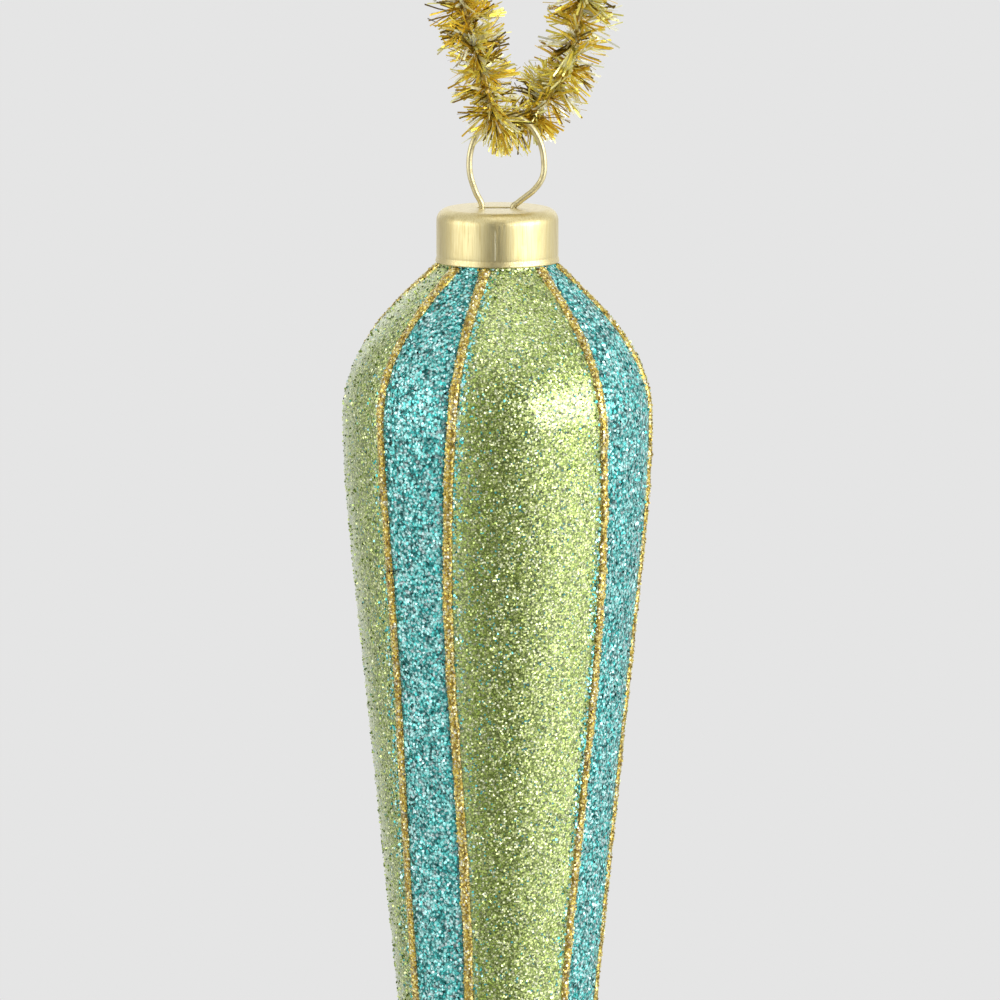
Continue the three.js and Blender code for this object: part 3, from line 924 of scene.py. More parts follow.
@dataclass(frozen=True)
class DropOutline:
    """Outline of the bare glass, with depths measured down from the cap's rim."""

    neck_radius: float = 9.1
    neck_drop: float = 0.75
    shoulder_slope: float = 43.5
    shoulder_lead: float = 7
    belly_radius: float = 24.65
    belly_depth: float = 25
    belly_rise: float = 12
    taper_radius: float = 22.45
    taper_depth: float = 55
    length: float = 251
    nose_radius: float = 2.6
    nose_length: float = 3.4

    def points(self) -> list[Vector]:
        """Draws the outline.

        Returns:
            Points from under the cap's rim to the glass's point, as radius and height.
        """
        start = Vector((self.neck_radius, RIM_Z - self.neck_drop))
        slope = math.radians(self.shoulder_slope)
        lead = Vector((math.cos(slope), -math.sin(slope))) * self.shoulder_lead
        widest = Vector((self.belly_radius, RIM_Z - self.belly_depth))
        taper = Vector((self.taper_radius, RIM_Z - self.taper_depth))
        nose = Vector((self.nose_radius, RIM_Z - self.length + self.nose_length))
        way = (nose - taper).normalized()
        third = (self.taper_depth - self.belly_depth) / 3
        quarter = 0.55  # share of a radius that makes a Bezier curve a quarter of an ellipse
        point = Vector((0, RIM_Z - self.length))
        blunt = point + Vector((quarter * self.nose_radius, 0))
        return [
            Vector((self.neck_radius, RIM_Z + 0.45)),
            Vector((self.neck_radius, RIM_Z - 0.15)),
            *self._arc(start, start + lead, widest + Vector((0, self.belly_rise)), widest, 26),
            *self._arc(widest, widest - Vector((0, third)), taper - way * third, taper, 22)[1:],
            *(taper.lerp(nose, i / 140) for i in range(1, 141)),
            *self._arc(nose, nose + way * quarter * self.nose_length, blunt, point, 8)[1:],
        ]

    def _arc(self, a: Vector, b: Vector, c: Vector, d: Vector, steps: int) -> list[Vector]:
        """Draws a Bezier curve.

        Args:
            a: Its start.
            b: Draws it on from the start.
            c: Draws it towards the end.
            d: Its end.
            steps: Steps between its points.

        Returns:
            The points, both ends included.
        """
        shares = (i / steps for i in range(steps + 1))
        return [
            a * (1 - t) ** 3 + b * 3 * t * (1 - t) ** 2 + c * 3 * t * t * (1 - t) + d * t**3
            for t in shares
        ]

    def stations(self) -> list[Station]:
        """Finds the outline's stations.

        Returns:
            The stations, from the rim to the point.
        """
        points = self.points()
        found = []
        for i, point in enumerate(points):
            way = (points[min(i + 1, len(points) - 1)] - points[max(i - 1, 0)]).normalized()
            if point.x < 1e-6:
                found.append(Station(0, point.y, 0, -1))
            else:
                found.append(Station(point.x, point.y, -way.y, way.x))
        return found


@dataclass(frozen=True)
class GoldLine:
    """A hand-painted bead of gold glitter: where it runs and how it sways."""

    angle: float
    sway: float
    crest: float
    wave: float
    gather: float
    spill_depth: float = 60  # where most of the teal glitter lies past it
    spill: float = 0.42  # how far past it the teal glitter usually lies

    def spilt(self, station: Station) -> float:
        """Returns how much teal glitter lies past the bead at a station, from 0 to 1."""
        depth = RIM_Z - station.z
        return 0.12 + 0.88 * math.exp(-(((depth - self.spill_depth) / 34) ** 2))

    def middle(self, station: Station) -> float:
        """Returns the angle of the bead's middle at a station."""
        depth = RIM_Z - station.z
        sway = self.sway * math.cos(2 * math.pi * (depth - self.crest) / self.wave)
        return self.angle + sway + self.gather * math.exp(-max(depth, 0) / 6)


@dataclass
class GlassDrop:
    """The blown glass drop with its coats of glitter."""

    outline: DropOutline = field(default_factory=DropOutline)
    wall: float = 1.05
    glue: float = 0.06
    coat: float = 0.35
    bead_height: float = 0.8
    bead_half: float = 0.88
    bead_swell: float = 0.4  # how much thicker a bead is where it starts at the neck
    bead_shade_end: float = 1.5  # from a bead's middle to where the painted shade beside it ends
    bead_shade_fade: float = 0.5
    tip_radius: float = 3.88
    neck_top: float = 1.5  # from the cap's crown down to the glass's rim
    turned_columns: int = 96  # faces round the glass
    green_columns: int = 24
    teal_columns: int = 14
    bead_columns: int = 10
    tip_columns: int = 36
    green_flakes: int = 5200
    teal_flakes: int = 3600
    spilt_flakes: int = 3000  # tries past the two beads of a teal stripe
    bead_flakes: int = 1500
    tip_flakes: int = 700
    lines: tuple[GoldLine, ...] = (
        GoldLine(-51.3, 3.5, 50, 160, 8, 86, 0.8),
        GoldLine(-18.4, -2.1, 58, 105, 4, 6),
        GoldLine(44.6, 2.4, 62, 108, 6, 70),
        GoldLine(80, 1.6, 40, 110, 9),
        GoldLine(138, -2, 70, 120, 4),
        GoldLine(168, 1.8, 50, 100, -4),
        GoldLine(222, 2.2, 75, 115, 4),
        GoldLine(252, -1.8, 45, 108, 22),
    )
    panels: tuple[tuple[str, Glitter], ...] = (
        ("teal_stripe_front_left", Glitter.TEAL),
        ("green_panel_front", Glitter.GREEN),
        ("teal_stripe_front_right", Glitter.TEAL),
        ("green_panel_right", Glitter.GREEN),
        ("teal_stripe_back_right", Glitter.TEAL),
        ("green_panel_back", Glitter.GREEN),
        ("teal_stripe_back_left", Glitter.TEAL),
        ("green_panel_left", Glitter.GREEN),
    )
    finishes: dict[Glitter, bpy.types.Material] = field(default_factory=dict)
    stations: list[Station] = field(default_factory=list)

    def build(self) -> None:
        """Builds the glass, the panels, the beads and the tip."""
        self.finishes = {kind: kind.value.material() for kind in Glitter}
        self.stations = self.outline.stations()
        self._glass()
        for index in range(len(self.panels)):
            self._panel(index)
        for index in range(len(self.lines)):
            self._bead(index)
        self._tip()

    def _coated(self, past: float = 0) -> list[Station]:
        """Finds the stations under the stripes.

        Args:
            past: Millimetres further towards the point that it goes.

        Returns:
            The stations, from the top.
        """
        low = next(s.z for s in self.stations if s.z < RIM_Z - 60 and s.r < self.tip_radius)
        return [s for s in self.stations if s.z > low - past]

    def _glass(self) -> None:
        """Builds the glass shell, open at the neck."""
        outer = [(s.r, s.z) for s in self.stations]
        top = CROWN_Z - self.neck_top
        bore = self.outline.neck_radius - self.wall
        rim = self.wall / 2
        neck = [
            (bore + rim + rim * math.cos(a), top - rim + rim * math.sin(a))
            for a in (math.pi * (1 - i / 6) for i in range(7))
        ]
        inner = [
            (s.r - s.out_r * self.wall, s.z - s.out_z * self.wall)
            for s in self.stations
            if s.z < RIM_Z - self.outline.neck_drop - 0.5 and s.r > self.outline.nose_radius
        ]
        low = inner[-1]
        profile = [(0, low[1] - low[0]), *reversed(inner), *neck, *outer]
        as_piece(
            "blown_glass",
            turned(profile, self.turned_columns),
            GlassFinish("blown_glass", (0.86, 0.93, 0.88)).material(),
            "glass",
            "glass",
            "glass_body",
        )

    def _patch(
        self,
        stations: list[Station],
        columns: int,
        strips: int,
        place: Callable[[int, int], Vector],
        bead_shade_depth: Callable[[int, int], float] | None = None,
    ) -> bmesh.types.BMesh:
        """Lays a patch of faces over the glass, with its bake map folded into strips.

        Args:
            stations: The stations of its rows, from the top.
            columns: Faces from its left side to its right.
            strips: How many strips the bake map has.
            place: Gives the point of a row and column.
            bead_shade_depth: Gives how far into the painted shade beside a bead it is, from 0 to 1,
                or
            None for none.

        Returns:
            The mesh.
        """
        rows = len(stations) - 1
        made = bmesh.new()
        bake = made.loops.layers.uv.new(BAKE_MAP)
        shade = made.faces.layers.float.new("flake")
        # Each point keeps how deep it lies in the painted shade beside the beads.
        painted_bead_shade = made.verts.layers.float.new("painted_bead_shade")
        bmesh.ops.create_grid(made, x_segments=columns, y_segments=rows, size=1)
        spots = {}
        for vert in made.verts:
            row, column = round((1 - vert.co.y) / 2 * rows), round((vert.co.x + 1) / 2 * columns)
            spots[vert.index] = (row, column)
            vert[painted_bead_shade] = bead_shade_depth(row, column) if bead_shade_depth else 0
            vert.co = place(row, column)
        made.verts.ensure_lookup_table()
        tall = math.ceil(rows / strips)
        margin = 0.004
        for face in made.faces:
            face[shade] = -1
            face.smooth = True
            strip = min(spots[loop.vert.index][0] for loop in face.loops) // tall
            for loop in face.loops:
                row, column = spots[loop.vert.index]
                across = margin * strips + (1 - 2 * margin * strips) * column / columns
                v = margin + (1 - Swatches.BAND - 3 * margin) * (row - strip * tall) / tall
                loop[bake].uv = ((strip + across) / strips, v)
        return made

    def _scatter(
        self,
        made: bmesh.types.BMesh,
        stations: list[Station],
        count: int,
        radius: float,
        seed: int,
        place: Scatter,
    ) -> None:
        """Scatters loose flakes over a coat.

        Args:
            made: The coat's mesh.
            stations: The coat's stations.
            count: How many flakes are tried.
            radius: A flake's radius.
            seed: Seed of the scatter.
            place: Gives a flake's angle and height at a station, or None for none.
        """
        dice = random.Random(seed)
        loose = LoosePieces(made)
        widest = max(s.r for s in stations)
        for _ in range(count):
            at = dice.uniform(0, len(stations) - 1.001)
            a, b = stations[int(at)], stations[int(at) + 1]
            share = at - int(at)
            if dice.random() > blend_of(a.r, b.r, share) * (a.z - b.z + 0.3) / widest:
                continue
            here = Station(
                blend_of(a.r, b.r, share),
                blend_of(a.z, b.z, share),
                blend_of(a.out_r, b.out_r, share),
                blend_of(a.out_z, b.out_z, share),
            )
            spot = place(dice, here)
            if spot is None:
                continue
            angle, height = spot
            out = here.out(angle)
            lean = Vector([dice.gauss(0, 0.38) for _ in range(3)])
            loose.flake(
                here.over(angle, height),
                (out + lean).normalized(),
                radius * dice.uniform(0.75, 1.1),
                dice.uniform(0, math.pi),
                dice.randrange(Swatches.count()),
            )
        loose.finish()

    def _panel(self, index: int) -> None:
        """Builds the coat between a bead and the next one round.

        Args:
            index: The coat's place in the order of the beads.
        """
        name, kind = self.panels[index]
        left, right = self.lines[index], self.lines[(index + 1) % len(self.lines)]
        turn = 360 if index + 1 == len(self.lines) else 0
        stations = self._coated()
        rows = len(stations) - 1
        wide = kind is Glitter.GREEN
        columns = self.green_columns if wide else self.teal_columns
        top = self.glue + self.coat

        def place(row: int, column: int) -> Vector:
            """Places a point of the coat.

            Args:
                row: The row, from the top.
                column: The column, from the left.

            Returns:
                The point, in metres.
            """
            station = stations[row]
            from_angle, to_angle = left.middle(station), right.middle(station) + turn
            angle = blend_of(from_angle, to_angle, column / columns)
            edge = row in (0, rows) or column in (0, columns)
            swell = 0.05 * wander(station.z / 2.2, angle / 5)
            return station.over(angle, self.glue if edge else top + swell)

        def bead_shade_depth(row: int, column: int) -> float:
            """Tells how far into the painted shade beside a bead a point is.

            Args:
                row: The row, from the top.
                column: The column, from the left.

            Returns:
                Nought outside the painted shade, and one at the bead.
            """
            station = stations[row]
            width = math.radians(right.middle(station) + turn - left.middle(station)) * station.r
            off = width * min(column, columns - column) / columns
            return min(max((self.bead_shade_end - off) / self.bead_shade_fade, 0), 1)

        def flake(dice: random.Random, station: Station) -> Spot | None:
            """Places a loose flake.

            Args:
                dice: Gives the flake's place.
                station: The flake's station.

            Returns:
                Its angle and height, or None for none.
            """
            margin = math.degrees(self.bead_half * 1.2 / station.r)
            from_angle = left.middle(station) + margin
            to_angle = right.middle(station) + turn - margin
            if to_angle <= from_angle:
                return None
            return dice.uniform(from_angle, to_angle), top + dice.uniform(0.02, 0.12)

        def spilt(dice: random.Random, station: Station) -> Spot | None:
            """Places a flake that was spilt past one of the beads.

            Args:
                dice: Gives the flake's place.
                station: The flake's station.

            Returns:
                Its angle and height, or None for none.
            """
            line, way, more = dice.choice(((left, -1, 0), (right, 1, turn)))
            if dice.random() > line.spilt(station):
                return None
            reach = self.bead_half * 1.1 + line.spill * min(dice.expovariate(1), 3)
            angle = line.middle(station) + more + way * math.degrees(reach / station.r)
            return angle, top + dice.uniform(0.02, 0.1)

        made = self._patch(stations, columns, 3 if wide else 4, place, bead_shade_depth)
        count = self.green_flakes if wide else self.teal_flakes
        radius = kind.value.loose_radius
        self._scatter(made, stations[1:], count, radius, 100 + index, flake)
        if not wide:
            self._scatter(made, stations[1:], self.spilt_flakes, radius, 400 + index, spilt)
        as_piece(f"{name}_flakes", made, self.finishes[kind], "glass", kind.value.name, name)

    def _bead(self, index: int) -> None:
        """Builds a gold bead.

        Args:
            index: The bead's place round the drop.
        """
        line = self.lines[index]
        stations = self._coated(past=3)[1:]
        rows = len(stations) - 1
        columns = self.bead_columns

        def shape(station: Station) -> tuple[float, float, float]:
            """Gives the bead's shape at a station.

            Args:
                station: The station.

            Returns:
                The bead's middle in degrees, its half width and its height.
            """
            fine = wander(station.z / 1.9, index * 7.3)
            slow = wander(station.z / 7, index * 3.1 + 40)
            uneven = wander(station.z / 2.6, index * 5.7 + 80)
            thick = 1 + self.bead_swell * math.exp(-max(RIM_Z - station.z, 0) / 4)
            half = self.bead_half * thick * (1 + 0.16 * uneven)
            middle = line.middle(station) + math.degrees((0.1 * fine + 0.16 * slow) / station.r)
            low = min((station.z - stations[-1].z) / 5, 1)
            height = self.bead_height * thick * (1 + 0.18 * uneven + 0.1 * fine)
            return middle, half, height * (0.35 + 0.65 * low)

        def place(row: int, column: int) -> Vector:
            """Places a point of the coat.

            Args:
                row: The row, from the top.
                column: The column, from the left.

            Returns:
                The point, in metres.
            """
            station = stations[row]
            middle, half, height = shape(station)
            across = -math.cos(math.pi * column / columns)
            rise = height * math.sin(math.pi * column / columns)
            angle = middle + math.degrees(across * half / station.r)
            return station.over(angle, 0.02 + (0 if row in (0, rows) else rise))

        def flake(dice: random.Random, station: Station) -> Spot | None:
            """Places a loose flake.

            Args:
                dice: Gives the flake's place.
                station: The flake's station.

            Returns:
                Its angle and height, or None for none.
            """
            middle, half, height = shape(station)
            across = dice.uniform(-0.92, 0.92)
            rise = height * math.sqrt(1 - across * across)
            return middle + math.degrees(across * half / station.r), rise + dice.uniform(0.03, 0.1)

        made = self._patch(stations, columns, 10, place)
        radius = Glitter.GOLD.value.loose_radius
        self._scatter(made, stations, self.bead_flakes, radius, 200 + index, flake)
        name, finish = f"gold_line_{index + 1}", self.finishes[Glitter.GOLD]
        as_piece(f"{name}_flakes", made, finish, "glass", "gold_glitter", name)

    def _tip(self) -> None:
        """Builds the gold glitter over the drop's point."""
        start = self._coated()[-1]
        stations = [s for s in self.stations if s.z <= start.z + 0.01]
        top = self.glue + self.coat
        columns = self.tip_columns

        def place(row: int, column: int) -> Vector:
            """Places a point of the coat.

            Args:
                row: The row, from the top.
                column: The column, from the left.

            Returns:
                The point, in metres.
            """
            station = stations[row]
            swell = 0 if station.r < 1e-6 else 0.06 * wander(station.z / 1.5, column % columns)
            height = self.glue if row == 0 else top + swell
            return station.over(-180 + 360 * column / columns, height)

        def flake(dice: random.Random, station: Station) -> Spot | None:
            """Places a loose flake.

            Args:
                dice: Gives the flake's place.
                station: The flake's station.

            Returns:
                Its angle and height, or None for none.
            """
            return dice.uniform(-180, 180), top + dice.uniform(0.03, 0.12)

        made = self._patch(stations, columns, 1, place)
        bmesh.ops.remove_doubles(made, verts=made.verts, dist=MERGE)
        radius, finish = Glitter.GOLD.value.loose_radius, self.finishes[Glitter.GOLD]
        self._scatter(made, stations, self.tip_flakes, radius, 300, flake)
        as_piece("gold_tip_flakes", made, finish, "glass", "gold_glitter", "gold_tip")


# The cap and the hanger


@dataclass
class DrawnCap:
    """The drawn metal cap with its rolled lip and its slot for the wire."""

    radius: float = 9.9
    sheet: float = 0.4
    rounding: float = 2
    slot_half_length: float = 2.5
    slot_half_width: float = 0.8
    columns: int = 120

    def build(self) -> None:
        """Builds the cap."""
        made = bmesh.new()
        bmesh.ops.create_circle(made, segments=self.columns, radius=1)
        edges = list(made.edges)
        rings = self._rings()
        self._move(list(made.verts), rings[0])
        for ring in rings[1:]:
            grown = bmesh.ops.extrude_edge_only(made, edges=edges)["geom"]
            edges = [part for part in grown if isinstance(part, bmesh.types.BMEdge)]
            self._move([part for part in grown if isinstance(part, bmesh.types.BMVert)], ring)
        bmesh.ops.remove_doubles(made, verts=made.verts, dist=1e-6)
        bmesh.ops.recalc_face_normals(made, faces=made.faces)
        soften(made)
        finish = DrawnMetalFinish(
            name="drawn_cap",
            metal=(0.77, 0.67, 0.35),
            tarnish=(0.55, 0.42, 0.15),
            # painted highlight along the seam
            seam_highlight=(1.0, 0.95, 0.7),
            seam_ends=(RIM_Z + 1.4, CROWN_Z - self.rounding - 0.9),
            roughness=0.4,
        )
        as_piece("drawn_cap", made, finish.material(), "cap", "cap_metal", "cap")

    def _rings(self) -> list[tuple[float, float, float]]:
        """Lists the rings of points that the cap is drawn through.

        Returns:
            Each ring's share of the slot's shape, its radius and its height over the crown.
        """
        edge = self.radius - self.rounding
        tall = CROWN_Z - RIM_Z
        inside = self.radius - self.sheet
        turns = [math.radians(90 * i / 10) for i in range(11)]
        over = [
            (0, edge + self.rounding * math.sin(a), self.rounding * (math.cos(a) - 1))
            for a in turns
        ]
        under_round = self.rounding - self.sheet
        under = [
            (0, edge + under_round * math.sin(a), under_round * math.cos(a) - self.rounding)
            for a in reversed(turns)
        ]
        crown = [(1, 0.06, 0), (0.8, edge, 0), (0.5, edge, 0.02), (0.25, edge, 0.02)]
        crown.append((0.04, edge, 0))
        wall = [(0, self.radius, -depth) for depth in (3, 4.2, 5.4, 6.6, 7.3)]
        rolled = (  # how far each ring of the lip stands out, and its depth
            (-0.02, 7.62), (-0.04, 7.74), (-0.02, 7.86), (0.05, 8.12), (0.11, 8.36), (0.15, 8.54),
            (0.13, 8.66), (0.06, tall),
        )
        lip = [(0, self.radius + out, -depth) for out, depth in rolled]
        lip += [(0, inside + 0.1, -tall), (0, inside, -tall + 0.1), (0, inside, -5)]
        below = [(0.04, edge, -self.sheet), (0.5, edge, -self.sheet), (1, 0, -self.sheet)]
        first = [(1, 0, -self.sheet), (1, 0, -0.08)]
        return [*first, *crown, *over, *wall, *lip, *under, *below]

    def _slot_reach(self, a: float) -> float:
        """Finds how far the slot reaches from its middle at an angle.

        Args:
            a: The angle, in radians.

        Returns:
            The distance in millimetres.
        """
        across, along = abs(math.sin(a)), abs(math.cos(a))
        half, straight = self.slot_half_width, self.slot_half_length
        if along * half <= straight * across:
            return half / across
        return straight * along + math.sqrt(half**2 - (straight * across) ** 2)

    def _move(self, verts: list[bmesh.types.BMVert], ring: tuple[float, float, float]) -> None:
        """Moves a ring of points into its place.

        Args:
            verts: The ring's points, each at its own angle.
            ring: The ring's share of the slot's shape, its radius and its height.
        """
        share, radius, height = ring
        for vert in verts:
            a = math.atan2(vert.co.y, vert.co.x)
            reach = self._slot_reach(a)
            r = reach + radius if share == 1 else blend_of(radius, reach, share)
            vert.co = Vector((r * math.cos(a), r * math.sin(a), CROWN_Z + height)) * MM


@dataclass
class HangerRing:
    """The sprung wire: the ring above the cap and the two legs inside the neck."""

    wire: float = 1
    half_width: float = 6.05
    height: float = 15.2
    middle: float = 7.1
    lean: float = 1.5
    start: float = -14
    end: float = 213
    ring_steps: int = 10
    spread: float = 2.5  # half the distance between the legs in the slot
    foot: float = 0.9
    elbow: tuple[float, float] = (6.1, 3.1)
    bow: float = 7.25
    bow_depth: float = 14
    reach: float = 20.5
    end_spread: float = 4.4
    waist: float = 7.7

    def route(self) -> list[Vector]:
        """Lays the wire's centreline.

        Returns:
            The points, in millimetres.
        """
        leg = [
            (self.end_spread, -self.reach),
            ((2 * self.bow + self.end_spread) / 3, -(self.bow_depth + 2 * self.reach) / 3),
            (self.bow, -self.bow_depth),
            ((self.spread + 3 * self.bow) / 4, -self.waist),
            (self.spread, 0),
        ]
        rise = self.height - self.middle
        shares = (i / self.ring_steps for i in range(self.ring_steps + 1))
        angles = (math.radians(blend_of(self.start, self.end, share)) for share in shares)
        ring = [
            (self.lean + self.half_width * math.cos(a), self.middle + rise * math.sin(a))
            for a in angles
        ]
        foot = (self.spread + self.foot, self.foot)
        left = [(-x, z) for x, z in reversed(leg)]
        return [Vector((x, 0, CROWN_Z + z)) for x, z in (*leg, foot, self.elbow, *ring, *left)]

    def build(self) -> None:
        """Builds the wire."""
        made = as_curve("sprung_wire", SmoothRoute(self.route()).spaced(300), self.wire / 2)
        made.data.bevel_resolution = 5
        finish = WireFinish("sprung_wire", (0.72, 0.64, 0.38), (0.5, 0.42, 0.2), 0.4)
        made.data.materials.append(finish.material())
        join_model(made, "hanger", "hanger_wire", "hanger_wire")
        LOG.info("%s: %d points on hanger", made.name, len(made.data.splines[0].points))


# The tinsel


@dataclass
class TinselLoop:
    """The loop of tinsel: a twisted core with thousands of foil strands."""

    core_radius: float = 0.5
    rest_gap: float = 0.3
    tail_length: float = 11
    tail_turn: float = 6.6
    tail_steps: int = 12
    contact: tuple[float, float, float] = (1.5, 0, -75)
    strand_length: float = 6.1
    strand_width: float = 0.34
    tufts_per_mm: float = 9.5
    fan_tufts: int = 90  # more tufts where the bend spreads them, on either side of the ring's top
    fan_reach: float = 5.5  # how far along the core they are
    wraps_per_mm: float = 8  # short strands that lie along the core
    ring_half_width: float = 6.05
    ring_wire: float = 0.5  # radius of the ring's wire
    ring_swing: float = 45
    grow_step: float = 0.25  # by which a strand is tried longer
    way_down: tuple[tuple[float, float, float], ...] = (
        (-2.4, 0, -4),
        (-5.6, -0.5, -13),
        (-7.6, -1.2, -26),
        (-7.2, -1.9, -40),
        (-5.5, -2.7, -54.6),
        (-3.4, -3, -63.5),
        (-1.7, -3, -69.2),
        (-0.4, -2.2, -73.7),
    )
    way_up: tuple[tuple[float, float, float], ...] = (
        (4.1, 2.3, -74.4),
        (7, 3, -72.5),
        (9.5, 3, -69.4),
        (11.6, 3, -65.4),
        (12.9, 2.9, -61),
        (13.7, 2.6, -53),
        (13.9, 1.9, -41),
        (11.8, 1.2, -27),
        (7.4, 0.5, -13.5),
        (2.5, 0, -4),
    )

    def _tail(self, start: float) -> list[Vector]:
        """Lays one twisted end of the core, upwards from the top of the loop.

        Args:
            start: The angle at which it starts, in radians.

        Returns:
            Its points, from below.
        """
        radius = self.core_radius + self.rest_gap / 2
        found = []
        for i in range(self.tail_steps + 1):
            rise = self.tail_length * i / self.tail_steps
            a = start + 2 * math.pi * rise / self.tail_turn
            height = self.core_radius + rise
            found.append(Vector((radius * math.cos(a), radius * math.sin(a), height)))
        return found

    def route(self) -> SmoothRoute:
        """Returns the core's route from one twisted end to the other."""
        middle = [Vector(point) for point in (*self.way_down, self.contact, *self.way_up)]
        return SmoothRoute([*reversed(self._tail(math.pi)), *middle, *self._tail(0)])

    def build(self) -> None:
        route = self.route()
        points = route.spaced(480)
        core = as_curve("tinsel_core", points, self.core_radius)
        finish = WireFinish("tinsel_core", (0.62, 0.47, 0.16), (0.3, 0.23, 0.08), 0.4)
        core.data.materials.append(finish.material())
        nodes = (
            "tinsel_upper_left", "tinsel_lower_left", "tinsel_lower_right", "tinsel_upper_right",
        )
        join_model(core, "tinsel", "tinsel_foil", *nodes)
        foil = FoilFinish(
            "tinsel_foil",
            # From dark olive, a painted reflection of dark surroundings, to near white, painted
            # glints.
            (
                (0.0, linear(96, 80, 26)),
                (0.1, linear(184, 146, 34)),
                (0.22, linear(253, 212, 62)),
                (0.45, linear(255, 238, 98)),
                (0.68, linear(255, 250, 156)),
                (0.86, linear(255, 255, 232)),
            ),
        ).material()
        quarter = len(points) // 4
        fringes = [
            self._fringe(name, points, quarter * i, quarter * (i + 1), foil, i)
            for i, name in enumerate(nodes)
        ]
        route.length * MM

    def _fringe(
        self,
        name: str,
        points: list[Vector],
        first: int,
        last: int,
        foil: bpy.types.Material,
        seed: int,
    ) -> bpy.types.Object:
        """Grows the strands of one stretch.

        Args:
            name: The node's name.
            points: The core's points.
            first: The stretch's first point.
            last: The point after it.
            foil: The strands' material.
            seed: Seed of their scatter.

        Returns:
            The piece.
        """
        dice = random.Random(500 + seed)
        made = bmesh.new()
        made.loops.layers.uv.new(BAKE_MAP)
        made.faces.layers.float.new("flake")
        strands = LoosePieces(made)
        step = (points[1] - points[0]).length
        for at, turn in self._roots(dice, points, first, last):
            along, round_core = dice.gauss(0, 0.44), dice.gauss(0, 0.2)
            shares = (0.68, 1.06) if dice.random() < 0.8 else (0.4, 0.7)
            wish = self.strand_length * dice.uniform(*shares)
            shade = dice.randrange(Swatches.count())
            for _ in range(dice.choice((1, 2, 3, 4, 6, 8))):
                root = min(max(at + dice.gauss(0, 1), first), last - 0.001)
                angle = turn + dice.gauss(0, 0.13)
                lean = (1, along + dice.gauss(0, 0.07), round_core + dice.gauss(0, 0.07))
                length = wish * dice.uniform(0.9, 1.03)
                cell = round(shade + dice.gauss(0, 8))
                self._strand(strands, dice, points, root, angle, lean, length, cell)
        for _ in range(round((last - first) * step * self.wraps_per_mm)):
            lean = (0.55, dice.choice((-1, 1)) * dice.uniform(0.5, 1.2), dice.gauss(0, 0.6))
            root, angle = dice.uniform(first, last - 0.001), dice.uniform(0, 2 * math.pi)
            length, cell = dice.uniform(1.6, 3), dice.randrange(Swatches.count())
            self._strand(strands, dice, points, root, angle, lean, length, cell)
        strands.finish()
        return as_piece(f"{name}_foil", made, foil, "tinsel", "tinsel_foil")

    def _roots(
        self, dice: random.Random, points: list[Vector], first: int, last: int
    ) -> list[tuple[float, float]]:
        """Returns where the tufts of a stretch stand.

        Args:
            dice: Gives the places.
            points: The core's points.
            first: The stretch's first point.
            last: The point after it.

        Returns:
            Each tuft's place among the core's points and its angle round the core in radians.
        """
        step = (points[1] - points[0]).length
        roots = [
            (dice.uniform(first, last), dice.uniform(0, 2 * math.pi))
            for _ in range(round((last - first) * step * self.tufts_per_mm))
        ]
        contact = Vector(self.contact)
        at_ring = min(range(len(points)), key=lambda i: (points[i] - contact).length)
        reach = self.fan_reach / step
        for _ in range(self.fan_tufts):
            at = at_ring + dice.uniform(-reach, reach)
            if first <= at < last:
                along = (points[int(at) + 1] - points[int(at)]).normalized()
                aside = along.orthogonal().normalized()
                down = math.atan2(-along.cross(aside).z, -aside.z)
                roots.append((at, down + dice.gauss(0, 0.55)))
        return roots

    def _strand(
        self,
        strands: LoosePieces,
        dice: random.Random,
        points: list[Vector],
        at: float,
        turn: float,
        lean: tuple[float, float, float],
        wish: float,
        cell: int,
    ) -> None:
        """Grows one strand, as long as the ring's way past it allows.

        Args:
            strands: The strands that it joins.
            dice: Gives its small differences.
            points: The core's points.
            at: Its place among the core's points.
            turn: Its angle round the core, in radians.
            lean: How far it leads away from the core, along it and round it.
            wish: Its length in millimetres where nothing is in its way.
            cell: The swatch that gives its shade, which may lie past either end.
        """
        here, there = points[int(at)], points[int(at) + 1]
        along = (there - here).normalized()
        aside = along.orthogonal().normalized()
        out = aside * math.cos(turn) + along.cross(aside) * math.sin(turn)
        way = (out * lean[0] + along * lean[1] + along.cross(out) * lean[2]).normalized()
        root = here.lerp(there, at - int(at)) + out * (self.core_radius * 0.6)
        length = self._free_length(root, way, wish)
        if length < 1:
            return
        bend = along.cross(out) * dice.gauss(0, 0.13) + along * dice.gauss(0, 0.13)
        bend += Vector((0, 0, 1e-4))  # so that it is never nought
        strands.strand(
            root * MM,
            way * (length * MM),
            bend * (length * MM),
            self.strand_width * dice.uniform(0.7, 1.2),
            dice.gauss(0, 1.1),
            min(max(cell, 0), Swatches.count() - 1),
        )

    def _free_length(self, root: Vector, way: Vector, wish: float) -> float:
        """Finds how long a strand may grow before it is where the ring passes.

        Args:
            root: Where it leaves the core, in millimetres.
            way: The way it grows.
            wish: Its length where nothing is in its way.

        Returns:
            The length in millimetres.
        """
        length = 0.0
        while length < wish:
            if self._in_ring_path(root + way * (length + self.grow_step)):
                return length
            length += self.grow_step
        return wish

